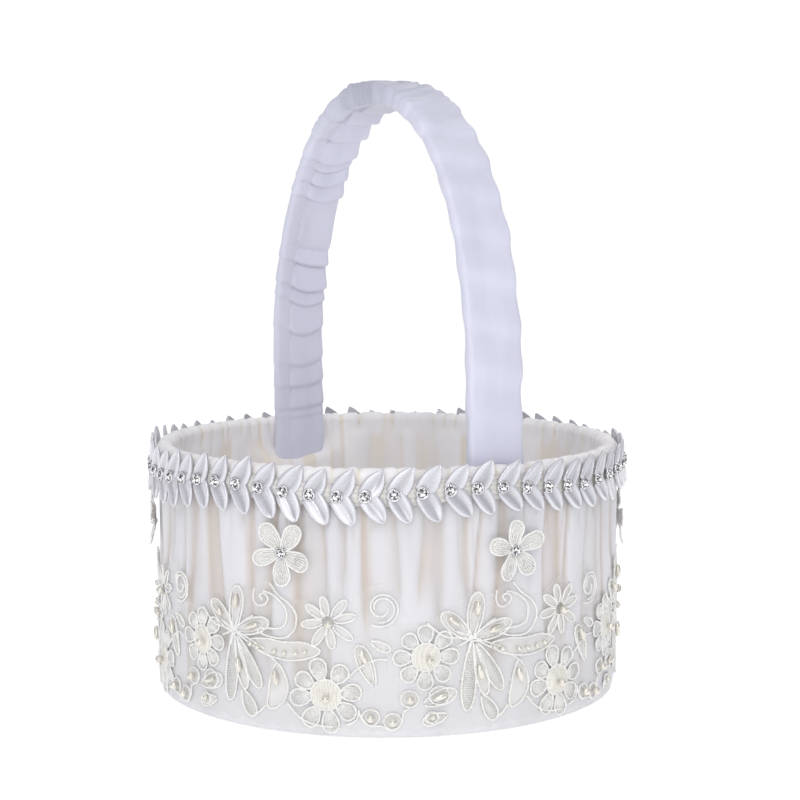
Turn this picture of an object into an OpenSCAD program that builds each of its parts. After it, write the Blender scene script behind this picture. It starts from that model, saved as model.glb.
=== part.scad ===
// Flower girl basket. A round basket of stiff board, covered outside in gathered satin and
// lined with satin that rolls over the rim. A padded satin strap stands across it as a handle,
// a trim of leaves and set stones runs round the rim, and beaded lace runs round the foot.
// Lengths are in millimetres. The basket stands on z = 0 and its handle spans X.

/* [Body] */
// Outside diameter of the satin-covered wall
body_d = 180; // [150:1:230]
// Height of the rolled rim above the table
rim_h = 97; // [84:1:140]

/* [Wall layers] */
// Thickness of the gathered outer satin
satin_t = 1.6; // [0.8:0.1:2.4]
// Thickness of the stiff board in the wall
board_t = 1.5; // [1:0.1:3]
// Thickness of the soft foam inside the board
foam_t = 1.5; // [0.8:0.1:4]
// Thickness of the gathered lining
lining_t = 1; // [0.6:0.1:1.6]
// How far the lining comes down over the outside of the rim
lining_lap = 15; // [8:0.5:18]
// Space left between layers that lie on each other
layer_gap = 0.05; // [0.02:0.01:0.15]

/* [Bottom] */
// Thickness of the covered disc that the basket stands on
base_cover_t = 1.2; // [0.8:0.1:3]
// How far the outer satin turns in under the wall
hem_w = 5.7; // [4:0.1:12]
// Thickness of the hem
hem_t = 0.8; // [0.4:0.1:1.6]
// How far the covered disc stays inside the outer satin
base_cover_inset = 3; // [1:0.1:8]
// Thickness of the stiff base board
base_board_t = 2; // [1:0.1:5]

/* [Floor pad] */
// Thickness of the card in the loose floor pad
floor_card_t = 1; // [0.6:0.1:2]
// Thickness of the foam in the floor pad
floor_foam_t = 5; // [2:0.1:12]
// Thickness of the satin over the floor pad
floor_satin_t = 0.8; // [0.4:0.1:1.5]
// Clearance between the floor pad and the lining
floor_gap = 0.25; // [0.1:0.05:1]

/* [Leaf trim] */
// Distance from one stone to the next
stone_pitch = 9.75; // [7:0.01:14]
// How far the row of stones lies below the top of the rim
stone_drop = 8.6; // [4:0.1:12]
// How far the row of stones rises and falls as it goes round
trim_wave = 1.2; // [0:0.1:1.8]
// Number of rises in one turn
trim_waves = 6; // [2:1:12]
// How far round the first rise is moved
trim_wave_turn = 23; // [0:1:60]
// Angle of the first stone
stone_start = 4.1; // [0:0.1:6]
// Width of the woven tape behind the leaves
tape_w = 9; // [7:0.1:10]
// Thickness of the tape
tape_t = 0.5; // [0.3:0.1:1]
// Length of a leaf
leaf_l = 12; // [9:0.1:13]
// Width of a leaf
leaf_w = 7.4; // [4:0.1:7.6]
// Thickness of a leaf
leaf_t = 1.1; // [0.6:0.1:1.6]
// Slope of a leaf to the row of stones
leaf_slope = 55; // [45:1:65]
// Distance from the row of stones to the root of a leaf
leaf_root = 0.5; // [0.2:0.1:2]
// Diameter of a stone
stone_d = 4; // [3:0.1:5]
// Height of a stone
stone_h = 1.7; // [1:0.1:2.2]
// Wall of the metal cup round a stone
cup_wall = 0.4; // [0.3:0.05:0.8]
// Floor of the metal cup under a stone
cup_floor = 0.3; // [0.2:0.05:0.6]
// Depth of the metal cup above its floor
cup_depth = 0.8; // [0.5:0.05:1]
// Clearance of a stone in its cup
stone_gap = 0.05; // [0.02:0.01:0.2]

/* [Handle] */
// Height of the top of the handle above the table
handle_h = 236; // [200:1:320]
// Height at which the straight legs turn into the arch
handle_spring = 128; // [110:1:160]
// How far the feet of the handle reach down below the rim
foot_depth = 45; // [30:1:60]
// Width of the covered strap
strap_w = 23.5; // [16:0.5:28]
// Thickness of the covered strap
strap_t = 5; // [4.6:0.1:8]
// Thickness of the gathered satin sleeve
sleeve_t = 0.6; // [0.4:0.1:1]
// Extra thickness of the bunched sleeve under the top of the arch
sleeve_bunch = 3; // [0:0.1:6]
// Thickness of the wadding round the stiff strip
wadding_t = 1; // [0.6:0.1:1.4]
// How far the stiff strip stops short of the end of the sleeve
strip_stop = 3; // [2:0.1:8]
// Width of a staple that holds a foot to the wall
staple_w = 9; // [6:0.1:12]
// Thickness of the staple wire
staple_wire = 0.6; // [0.4:0.1:0.8]
// Height of each staple below the rim
staple_drops = [23, 36];
// Clearance of a staple in the pieces that it passes through
staple_gap = 0.05; // [0.02:0.01:0.1]
// How deep a staple goes into the wall board
staple_bite = 1.1; // [0.5:0.1:1.4]

/* [Lace band] */
// Height of the top edge of the net
lace_top = 54; // [45:1:70]
// Height of the bottom edge of the net
lace_foot = 2.5; // [2.1:0.1:6]
// Thickness of the net
net_t = 0.3; // [0.2:0.05:0.6]
// Thickness of the corded motifs on the net
cord_t = 0.8; // [0.5:0.05:1.2]
// Width of the cord that draws the scrolls and curls
cord_w = 1.4; // [0.8:0.1:1.8]
// Length of one repeat of the lace pattern
lace_repeat = 90; // [80:1:110]
// Direction in which the two ends of the lace meet
lace_seam = 151.7; // [0:0.1:360]

/* [Beads] */
// Diameter of a round pearl
pearl_d = 3.1; // [3:0.1:5]
// Diameter of a seed pearl
seed_d = 2; // [1.6:0.1:3]
// Length of a pointed pearl
drop_l = 5.6; // [5:0.1:9]
// Width of a pointed pearl
drop_w = 2.4; // [2:0.1:4]

/* [Sewn flowers] */
// Width of a sewn flower across its petals
flower_d = 24.5; // [16:0.5:28]
// Width of one petal
petal_w = 7.5; // [5:0.1:10]
// Thickness of a petal
petal_t = 1; // [0.6:0.1:1.6]
// Height of the middle of the flowers
flower_z = 66; // [62:0.5:80]
// Number of petals
petals = 5; // [4:1:8]
// Place of the flower along each repeat of the lace
flower_along = 49.5; // [0:0.5:80]
// How far each flower was sewn off its place along the lace
flower_shifts = [0.6, -1.2, 2.3, -2.5, 1.4, -0.8];

/* [Hidden] */
$fn = 96;

body_r = body_d / 2;
satin_in = body_r - satin_t;
board_out = satin_in - layer_gap;
board_in = board_out - board_t;
foam_out = board_in - layer_gap;
foam_in = foam_out - foam_t;
lining_out = foam_in - layer_gap;
lining_in = lining_out - lining_t;
lap_in = body_r + layer_gap;
lap_out = lap_in + lining_t;
tape_in = lap_out + layer_gap;
tape_out = tape_in + tape_t;
leaf_r = tape_out + layer_gap;
cup_r = leaf_r + leaf_t + layer_gap;

// The rim is a half roll of lining over the tops of the other layers.
roll_out = (lap_out - lining_in) / 2;
roll_in = roll_out - lining_t;
roll_z = rim_h - roll_out;

hem_z = base_cover_t + layer_gap;
board_z = hem_z + hem_t + layer_gap;
wall_z = board_z + base_board_t + layer_gap;
pad_r = lining_in - floor_gap;
pad_in = pad_r - floor_satin_t;
card_z = wall_z;
foam_z = card_z + floor_card_t + layer_gap;
pad_z = foam_z + floor_foam_t + layer_gap;

stone_n = round(PI * body_d / stone_pitch);
stone_z = rim_h - stone_drop;
cup_d = stone_d + 2 * (stone_gap + cup_wall);

// The outer corners of the strap just clear the lining, which places the legs.
leg_out = sqrt(pow(lining_in - floor_gap, 2) - pow(strap_w / 2, 2));
leg_x = leg_out - strap_t / 2;
arch_rise = handle_h - strap_t / 2 - handle_spring;
foot_z = rim_h - foot_depth;
arch_steps = 36;

motif_in = body_r + layer_gap + net_t + layer_gap;
motif_out = motif_in + cord_t;
bead_r = motif_out + layer_gap;
petal_r = motif_out + layer_gap;
flower_cup_r = petal_r + petal_t + layer_gap;
turn = 2 * PI * body_r;
lace_n = floor(turn / lace_repeat);
// The space that whole repeats leave is shared by the two sides of the seam.
lace_start = lace_seam + (turn - lace_n * lace_repeat) / 2 / turn * 360;

// Where each kind of motif sits: [along the repeat, height, size, turn].
big_daisy = [68, 15.6, 26, 12];
small_daisy = [13, 29.5, 22, 0];
star_flower = [69, 42, 19, 10];
orchid = [30.2, 34.7, 11, 0];
scroll = [49, 44, 7, 0];
curl = [88, 47.5, 7, 0];
bud = [84, 26.5, 13, -64];
tear_leaf = [49.5, 17.2, 16, 82];
satin_leaf = [38, 8.8, 9, -50];
bead_leaf = [52.5, 30, 27, -3];
ring_loop = [18.5, 14, 7, 0];
bead_loops = [[85, 8, 6, 20], [93, 6.5, 6, 0], [98.3, 14, 6, 60]];
// Directions of the orchid's short upper petals, and [direction, length] of its long lower ones.
orchid_upper = [21, 82, 131];
orchid_lower = [[-90, 24.5], [-75, 18.5], [-59, 20]];

// Petals of the round motifs: [number, where they begin, width, radius of the centre].
big_daisy_petals = [8, 3.4, 6, 4.4];
small_daisy_petals = [8, 3, 5.4, 3.9];
star_petals = [8, 1.2, 3.4, 2.2];
// Widths of an orchid's short and long petals, and how far out the short ones and their pearls lie.
orchid_petal_w = [5.6, 5.4];
orchid_petal_at = 7.9;
// Widths of the four kinds of leaf.
bud_w = 5;
tear_leaf_w = 7;
satin_leaf_w = 4.6;
bead_leaf_w = 4;
// A loop round a pearl is this much longer than the pearl's place says, and this wide for its length.
loop_spare = 2;
loop_width = 0.75;
// Width of the cord of a loop.
loop_cord = 1;
// Spacing of the seed pearls, and how many lie on each side of the middle one.
seed_pitch = 4.4;
seeds_each_side = 2;
// Turn of the first sewn flower, and of each next one.
flower_turn = 18;
flower_next = 17;
flower_petal_from = 0.8;
flower_centre_r = 2;
// The flat top of a stone is this share of its width.
stone_table = 0.55;
// A motif is cut from a block this deep.
motif_block = 24;

FLOWERS = [for (i = [1:lace_n]) str("flower_", i)];

// ---- shapes used by several pieces ----

module ring(r_out, r_in, z0, z1) {
    translate([0, 0, z0])
        difference() {
            cylinder(r = r_out, h = z1 - z0);
            translate([0, 0, -1]) cylinder(r = r_in, h = z1 - z0 + 2);
        }
}

module disc(r, z0, t) {
    translate([0, 0, z0]) cylinder(r = r, h = t);
}

// A pointed oval of length l and width w, along X.
module lens(l, w) {
    r = (l * l + w * w) / (4 * w);
    intersection() {
        translate([0, r - w / 2]) circle(r);
        translate([0, w / 2 - r]) circle(r);
    }
}

// Turns a flat shape to face outwards at radius r: its X runs round the wall, its Y runs up.
module facing_out(r, t) {
    translate([r, 0, 0]) rotate([90, 0, 90]) linear_extrude(t) children();
}

// ---- bottom, wall and floor ----

module base_cover() {
    color("ivory") {
        disc(body_r - base_cover_inset, 0, base_cover_t);
        disc(body_r - hem_w - layer_gap, 0, board_z - layer_gap);
    }
}

module base_board() {
    color("tan") disc(board_out, board_z, base_board_t);
}

module wall_board() {
    color("tan") difference() {
        ring(board_out, board_in, wall_z, roll_z);
        staple_holes();
    }
}

module wall_foam() {
    color("lightyellow") difference() {
        ring(foam_out, foam_in, wall_z, roll_z);
        staple_holes();
    }
}

module outer_satin() {
    color("white") {
        ring(body_r, satin_in, hem_z, roll_z);
        ring(body_r, body_r - hem_w, hem_z, hem_z + hem_t);
    }
}

// The lining runs up the inside, rolls over the rim and comes down outside.
module lining_satin() {
    color("ivory") difference() {
        rotate_extrude() union() {
            translate([lining_in, wall_z]) square([lining_t, roll_z - wall_z]);
            translate([lap_in, rim_h - lining_lap]) square([lining_t, roll_z - rim_h + lining_lap]);
            difference() {
                translate([lining_in + roll_out, roll_z]) circle(roll_out);
                translate([lining_in + roll_out, roll_z]) circle(roll_in);
                translate([lining_in - 1, roll_z - 2 * roll_out])
                    square([2 * roll_out + 2, 2 * roll_out]);
            }
        }
        staple_holes();
    }
}

module floor_card() {
    color("tan") disc(pad_in - layer_gap, card_z, floor_card_t);
}

module floor_foam() {
    color("lightyellow") disc(pad_in - layer_gap, foam_z, floor_foam_t);
}

module floor_satin() {
    color("ivory") {
        disc(pad_r, pad_z, floor_satin_t);
        ring(pad_r, pad_in, card_z, pad_z);
    }
}

// ---- leaf trim ----

// Puts a copy of the children at each stone, where the row rises and falls.
module at_each_stone() {
    for (i = [0:stone_n - 1]) {
        a = stone_start + i * 360 / stone_n;
        rotate([0, 0, a])
            translate([0, 0, stone_z + trim_wave * sin(trim_waves * (a + trim_wave_turn))])
                children();
    }
}

module leaf(side) {
    rotate(side * leaf_slope) translate([leaf_root + leaf_l / 2, 0]) lens(leaf_l, leaf_w);
}

module trim_tape() {
    color("ivory")
        ring(tape_out, tape_in, stone_z - tape_w / 2, min(stone_z + tape_w / 2, roll_z));
}

module trim_leaves_upper() {
    color("lavender") at_each_stone() facing_out(leaf_r, leaf_t) leaf(1);
}

module trim_leaves_lower() {
    color("lavender") at_each_stone() facing_out(leaf_r, leaf_t) leaf(-1);
}

module stone_cup(r) {
    translate([r, 0, 0]) rotate([0, 90, 0]) difference() {
        cylinder(d = cup_d, h = cup_floor + cup_depth);
        translate([0, 0, cup_floor]) cylinder(d = stone_d + 2 * stone_gap, h = cup_depth + 1);
    }
}

// A round stone: a short girdle under a flat-topped cone.
module stone(r) {
    girdle = cup_depth - layer_gap;
    translate([r + cup_floor + layer_gap, 0, 0]) rotate([0, 90, 0]) {
        cylinder(d = stone_d, h = girdle);
        translate([0, 0, girdle]) cylinder(d1 = stone_d, d2 = stone_d * stone_table, h = stone_h - girdle);
    }
}

module trim_stone_cups() {
    color("silver") at_each_stone() stone_cup(cup_r);
}

module trim_stones() {
    color("azure") at_each_stone() stone(cup_r);
}

// ---- handle ----

// A point of the strap's side outline, d outside its middle line, at angle t round the arch.
function arch_point(t, d) =
    let (n = [cos(t) * arch_rise, sin(t) * leg_x])
    [leg_x * cos(t), handle_spring + arch_rise * sin(t)] + d * n / norm(n);

function arch_line(d, bunch, low) = concat(
    [[leg_x + d, low]],
    [for (i = [0:arch_steps])
        let (t = i * 180 / arch_steps) arch_point(t, d - bunch * pow(sin(t), 4))],
    [[-leg_x - d, low]]);

function reversed(p) = [for (i = [len(p) - 1:-1:0]) p[i]];

// The strap seen from its edge: a band from d_out outside its middle line to d_in inside it.
module strap(d_out, d_in, bunch, low, w) {
    translate([0, w / 2, 0]) rotate([90, 0, 0]) linear_extrude(w)
        polygon(concat(arch_line(d_out, 0, low), reversed(arch_line(-d_in, bunch, low))));
}

wadding_d = strap_t / 2 - sleeve_t - layer_gap;
wadding_w = strap_w - 2 * (sleeve_t + layer_gap);
strip_d = wadding_d - wadding_t - layer_gap;
strip_w = wadding_w - 2 * (wadding_t + layer_gap);
wadding_z = foot_z + sleeve_t + layer_gap;
strip_z = foot_z + strip_stop;

module handle_strip() {
    color("gainsboro") difference() {
        strap(strip_d, strip_d, 0, strip_z, strip_w);
        staple_holes();
    }
}

module handle_wadding() {
    color("whitesmoke") difference() {
        strap(wadding_d, wadding_d, 0, wadding_z, wadding_w);
        strap(strip_d + layer_gap, strip_d + layer_gap, 0, strip_z - layer_gap,
            strip_w + 2 * layer_gap);
        staple_holes();
    }
}

module handle_sleeve() {
    color("lavender") difference() {
        strap(strap_t / 2, strap_t / 2, sleeve_bunch, foot_z, strap_w);
        strap(wadding_d + layer_gap, wadding_d + layer_gap, 0, wadding_z - layer_gap,
            wadding_w + 2 * layer_gap);
        staple_holes();
    }
}

// One staple: its back lies on the inner face of the strip and its legs go out into the board.
module staple(grow) {
    back_x = leg_x - strip_d - layer_gap - staple_wire;
    reach = board_in + staple_bite - back_x;
    wire = staple_wire + 2 * grow;
    translate([back_x - grow, 0, 0]) {
        translate([0, -staple_w / 2 - grow, -wire / 2]) cube([wire, staple_w + 2 * grow, wire]);
        for (side = [-1, 1])
            translate([0, side * (staple_w - staple_wire) / 2 - wire / 2, -wire / 2])
                cube([reach + 2 * grow, wire, wire]);
    }
}

module at_each_staple() {
    for (foot = [0, 180]) for (drop = staple_drops)
        rotate([0, 0, foot]) translate([0, 0, rim_h - drop]) children();
}

module staple_holes() {
    at_each_staple() staple(staple_gap);
}

module handle_staples() {
    color("silver") at_each_staple() staple(0);
}

// ---- lace ----

// Puts the children at a place [along, height] of every repeat, facing outwards.
module at_each_repeat(place) {
    for (i = [0:lace_n - 1])
        rotate([0, 0, lace_start + (i * lace_repeat + place[0]) / turn * 360])
            translate([0, 0, place[1]]) children();
}

// A flat motif pressed on to the round of the wall, at one place of every repeat.
module on_lace(place) {
    intersection() {
        ring(motif_out, motif_in, lace_foot, rim_h);
        at_each_repeat(place) facing_out(body_r - motif_block / 2, motif_block) rotate(place[3]) children();
    }
}

// A round of petals of outer width d about a centre. Its shape is [number, start, width, centre].
module petal_round(shape, d) {
    l = d / 2 - shape[1];
    for (i = [0:shape[0] - 1])
        rotate(i * 360 / shape[0]) translate([shape[1] + l / 2, 0]) lens(l, shape[2]);
    circle(shape[3]);
}

// A band of width w along a line of points.
function band(p, w) =
    let (last = len(p) - 1,
        side = [for (i = [0:last])
            let (d = p[min(i + 1, last)] - p[max(i - 1, 0)]) [-d[1], d[0]] / norm(d) * w / 2])
    concat([for (i = [0:last]) p[i] + side[i]], [for (i = [last:-1:0]) p[i] - side[i]]);

function spiral(r0, r1, a0, a1, steps) =
    [for (i = [0:steps]) let (k = i / steps, a = a0 + (a1 - a0) * k, r = r0 + (r1 - r0) * k)
        r * [cos(a), sin(a)]];

module lace_net() {
    color("floralwhite") ring(body_r + layer_gap + net_t, body_r + layer_gap, lace_foot, lace_top);
}

module lace_big_daisies() {
    color("white") on_lace(big_daisy) petal_round(big_daisy_petals, big_daisy[2]);
}

module lace_small_daisies() {
    color("white") on_lace(small_daisy) petal_round(small_daisy_petals, small_daisy[2]);
}

module lace_star_flowers() {
    color("white") on_lace(star_flower) petal_round(star_petals, star_flower[2]);
}

// Three short petals above and three long ones below.
module lace_orchids() {
    color("white") on_lace(orchid) {
        for (a = orchid_upper)
            rotate(a) translate([orchid_petal_at, 0]) lens(orchid[2], orchid_petal_w[0]);
        for (p = orchid_lower)
            rotate(p[0]) translate([p[1] / 2, 0]) lens(p[1], orchid_petal_w[1]);
    }
}

// A curled head that runs on into a hook, open to the left.
module lace_scrolls() {
    r = scroll[2];
    head = [for (p = spiral(1.2, 3, 450, 110, 14)) p + [-3, r - 3]];
    hook = [for (p = spiral(r, r, 95, -95, 16)) p + [-1.5, 0]];
    color("white") on_lace(scroll) polygon(band(concat(head, hook), cord_w));
}

module lace_curls() {
    color("white") on_lace(curl) polygon(band(spiral(2.2, curl[2], 150, 560, 30), cord_w));
}

module lace_leaves() {
    color("white") {
        on_lace(bud) lens(bud[2], bud_w);
        on_lace(tear_leaf) lens(tear_leaf[2], tear_leaf_w);
        on_lace(satin_leaf) lens(satin_leaf[2], satin_leaf_w);
        on_lace(bead_leaf) lens(bead_leaf[2], bead_leaf_w);
    }
}

module lace_bead_loops() {
    color("white") {
        for (place = bead_loops) on_lace(place) difference() {
            lens(place[2] + loop_spare, place[2] * loop_width);
            lens(place[2] + loop_spare - 2.5 * loop_cord, place[2] * loop_width - 2 * loop_cord);
        }
        on_lace(ring_loop) difference() {
            circle(ring_loop[2] / 2);
            circle(ring_loop[2] / 2 - loop_cord);
        }
    }
}

// ---- beads ----

module bead(d) {
    translate([bead_r + d / 2, 0, 0]) sphere(d = d);
}

// A bead with two points, lying on the lace at a slope.
module pointed_bead(slope) {
    outline = [for (i = [0:8]) let (a = 180 * i / 8) [drop_w / 2 * sin(a), -drop_l / 2 * cos(a)]];
    translate([bead_r + drop_w / 2, 0, 0]) rotate([slope, 0, 0]) rotate_extrude() polygon(outline);
}

module pearls_round() {
    color("ivory") {
        for (place = concat([big_daisy, small_daisy, star_flower], bead_loops))
            at_each_repeat(place) bead(pearl_d);
    }
}

// A row of seed pearls along the bead leaf.
module pearls_seed() {
    color("ivory") for (i = [-seeds_each_side:seeds_each_side])
        at_each_repeat(bead_leaf + [i * seed_pitch, 0, 0, 0]) bead(seed_d);
}

module pearls_pointed() {
    color("ivory") {
        for (a = orchid_upper)
            at_each_repeat(orchid + orchid_petal_at * [cos(a), sin(a), 0, 0]) pointed_bead(a - 90);
        at_each_repeat(tear_leaf) pointed_bead(tear_leaf[3] - 90);
        at_each_repeat(bud) pointed_bead(bud[3] - 90);
    }
}

// ---- sewn flowers ----

// A flower past the end of the list of shifts takes them again from its start.
function flower_shift(i) = flower_shifts[i % len(flower_shifts)];

module at_flower(i) {
    rotate([0, 0, lace_start + (i * lace_repeat + flower_along + flower_shift(i)) / turn * 360])
        translate([0, 0, flower_z]) children();
}

module flower(i) {
    color("floralwhite") at_flower(i) facing_out(petal_r, petal_t) rotate(flower_turn + flower_next * i)
        petal_round([petals, flower_petal_from, petal_w, flower_centre_r], flower_d);
}

module flower_cups() {
    color("silver") for (i = [0:lace_n - 1]) at_flower(i) stone_cup(flower_cup_r);
}

module flower_stones() {
    color("azure") for (i = [0:lace_n - 1]) at_flower(i) stone(flower_cup_r);
}

base_cover();
base_board();
wall_board();
wall_foam();
outer_satin();
lining_satin();
floor_card();
floor_foam();
floor_satin();
trim_tape();
trim_leaves_upper();
trim_leaves_lower();
trim_stone_cups();
trim_stones();
handle_strip();
handle_wadding();
handle_sleeve();
handle_staples();
lace_net();
lace_big_daisies();
lace_small_daisies();
lace_star_flowers();
lace_orchids();
lace_scrolls();
lace_curls();
lace_leaves();
lace_bead_loops();
pearls_round();
pearls_seed();
pearls_pointed();
flower_cups();
flower_stones();
for (i = [0:lace_n - 1]) flower(i);
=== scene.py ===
import math

import bpy
import numpy as np
from bpy.props import FloatProperty, FloatVectorProperty, IntProperty, PointerProperty
from mathutils import Euler, Matrix, Vector


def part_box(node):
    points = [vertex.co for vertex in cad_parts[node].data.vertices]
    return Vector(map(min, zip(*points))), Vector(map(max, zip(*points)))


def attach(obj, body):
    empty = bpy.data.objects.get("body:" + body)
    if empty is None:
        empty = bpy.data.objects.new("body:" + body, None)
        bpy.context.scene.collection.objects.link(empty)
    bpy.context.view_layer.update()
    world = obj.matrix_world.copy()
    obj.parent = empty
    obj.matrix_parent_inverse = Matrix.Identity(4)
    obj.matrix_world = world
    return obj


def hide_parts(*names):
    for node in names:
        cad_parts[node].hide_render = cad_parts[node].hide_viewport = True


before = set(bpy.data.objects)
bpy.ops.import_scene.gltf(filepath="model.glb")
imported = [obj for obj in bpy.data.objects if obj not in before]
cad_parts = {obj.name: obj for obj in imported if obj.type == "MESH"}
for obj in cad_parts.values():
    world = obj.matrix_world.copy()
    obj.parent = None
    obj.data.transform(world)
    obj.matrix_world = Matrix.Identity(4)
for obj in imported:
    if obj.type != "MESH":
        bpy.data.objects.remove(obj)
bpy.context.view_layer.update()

bl_info = {
    "name": "Flower Girl Basket",
    "version": (1, 0, 0),
    "blender": (4, 5, 0),
    "location": "3D View > Sidebar > Basket",
    "description": "Makes the satin, trim, lace, beads and handle of a flower girl basket",
    "category": "Add Mesh",
}

# Sizes are in millimetres from here on, and become metres when a mesh is made.
MM = 0.001


def node_box(name):
    """Lowest and highest corner of a CAD node, in millimetres."""
    low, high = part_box(name)
    return [v / MM for v in low], [v / MM for v in high]


WALL_R = node_box("outer_satin")[1][0]
RIM_Z = node_box("lining_satin")[1][2]
LAP_R = node_box("lining_satin")[1][0]
PAD_R = node_box("floor_satin")[1][0]
PAD_TOP = node_box("floor_satin")[1][2]
PAD_LOW = node_box("floor_satin")[0][2]
FOAM_LOW = node_box("floor_foam")[0][2]
TAPE_R = node_box("trim_tape")[1][0]
NET_LOW = node_box("lace_net")[0][2]
NET_R = node_box("lace_net")[1][0]
STRAP_X = node_box("handle_sleeve")[1][0]
STRAP_LOW = node_box("handle_sleeve")[0][2]
STRAP_TOP = node_box("handle_sleeve")[1][2]
TURN = 2 * math.pi * WALL_R


# ---------------------------------------------------------------- sizes and colours

def length(name, text, default):
    """A size in millimetres."""
    return FloatProperty(name=name, description=text, default=default, min=0.0)


def angle(name, text, degrees):
    return FloatProperty(name=name, description=text, default=math.radians(degrees), subtype="ANGLE")


def colour(name, text, default):
    return FloatVectorProperty(name=name, description=text, default=default, size=3,
                               min=0.0, max=1.0, subtype="COLOR")


class TrimSizes(bpy.types.PropertyGroup):
    """Sizes of the leaf and stone trim."""
    count: IntProperty(name="Stones", description="Number of stones round the rim", default=58, min=3)
    start: angle("Start", "Angle of the first stone", 4.1)
    drop: length("Drop", "How far the row of stones lies below the top of the rim", 8.6)
    wave: length("Wave", "How far the row rises and falls", 1.2)
    waves: IntProperty(name="Waves", description="Rises in one turn", default=6, min=0)
    wave_turn: angle("Wave turn", "How far round the first rise is moved", 23)
    leaf_length: length("Leaf length", "Length of one leaf", 11.8)
    leaf_width: length("Leaf width", "Width of one leaf", 7.8)
    leaf_slope: angle("Leaf slope", "Slope of a leaf to the row", 55)
    stone_width: length("Stone width", "Width of a stone", 4.0)


class LaceSizes(bpy.types.PropertyGroup):
    """Sizes of the lace band and its beads."""
    repeat: length("Repeat", "Length of one repeat of the pattern", 90.0)
    seam: angle("Seam", "Direction in which the ends of the lace meet", 151.7)
    cord: length("Cord", "Width of the outlining cord", 0.74)
    thread: length("Thread", "Width of a filling thread", 0.52)
    pearl: length("Pearl", "Width of a round pearl", 3.1)
    seed: length("Seed pearl", "Width of a seed pearl", 2.0)
    flower_along: length("Flower place", "Place of a sewn flower along the repeat", 49.5)
    flower_z: length("Flower height", "Height of the middle of the sewn flowers", 66.0)
    flower_width: length("Flower width", "Width of a sewn flower", 22.5)


class HandleSizes(bpy.types.PropertyGroup):
    """Sizes of the covered strap."""
    width: length("Width", "Width of the covered strap", 23.5)
    thick: length("Thickness", "Thickness of the covered strap", 5.0)
    spring: length("Spring", "Height at which the legs turn into the arch", 128.0)
    bunch: length("Bunching", "Extra fabric under the top of the arch", 3.0)


class Colours(bpy.types.PropertyGroup):
    """Main colours of the basket."""
    satin: colour("Satin", "Outer satin", (0.74, 0.735, 0.76))
    # painted shade: the colour the outer satin turns to in its creases
    satin_crease_shade: colour("Satin crease", "Outer satin in its creases", (0.60, 0.535, 0.48))
    lining: colour("Lining", "Lining satin", (0.94, 0.925, 0.93))
    # painted shade: the colour the lining turns to in its creases and pleats
    lining_crease_shade: colour("Lining crease", "Lining satin in its creases", (0.86, 0.79, 0.66))
    sleeve: colour("Sleeve", "Satin of the handle", (0.70, 0.71, 0.83))
    # painted shade: the colour the handle satin turns to in its creases and over the top of the arch
    sleeve_crease_shade: colour("Sleeve crease", "Satin of the handle in its creases", (0.42, 0.43, 0.52))
    leaf: colour("Leaf", "Pressed satin leaves", (0.76, 0.76, 0.81))
    lace: colour("Lace", "Cords and threads of the lace", (0.96, 0.955, 0.92))
    pearl: colour("Pearl", "Pearls", (0.80, 0.77, 0.69))


def sizes(group):
    return getattr(bpy.context.scene, "basket_" + group)


# ---------------------------------------------------------------- materials

class Value:
    """A number, colour or shape that flows through a node tree. Sums on it add the nodes they need."""

    def __init__(self, nodes, socket):
        self.nodes, self.socket = nodes, socket

    def math(self, operation, a, b):
        return self.nodes.node("ShaderNodeMath", {0: a, 1: b}, operation=operation)

    def __add__(self, other):
        return self.math("ADD", self, other)

    def __radd__(self, other):
        return self.math("ADD", other, self)

    def __sub__(self, other):
        return self.math("SUBTRACT", self, other)

    def __rsub__(self, other):
        return self.math("SUBTRACT", other, self)

    def __mul__(self, other):
        return self.math("MULTIPLY", self, other)

    def __rmul__(self, other):
        return self.math("MULTIPLY", other, self)

    def __truediv__(self, other):
        return self.math("DIVIDE", self, other)

    def __pow__(self, other):
        return self.math("POWER", self, other)


class Nodes:
    """An empty node tree that is filled one node at a time."""

    def __init__(self, tree):
        self.tree = tree
        tree.nodes.clear()

    def add(self, kind, inputs=None, stops=None, **settings):
        """Adds a node: its settings first, then its inputs."""
        n = self.tree.nodes.new(kind)
        for key, value in settings.items():
            setattr(n, key, value)
        if stops:
            ramp = n.color_ramp
            while len(ramp.elements) < len(stops):
                ramp.elements.new(0.5)
            for element, (place, tint) in zip(ramp.elements, stops):
                element.position = place
                element.color = (*tint, 1.0)
        for key, value in (inputs or {}).items():
            if isinstance(value, Value):
                self.tree.links.new(value.socket, n.inputs[key])
            else:
                n.inputs[key].default_value = value
        return n

    def node(self, kind, inputs=None, out=0, **settings):
        """Adds a node and gives one of its outputs."""
        return Value(self, self.add(kind, inputs, **settings).outputs[out])


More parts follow.
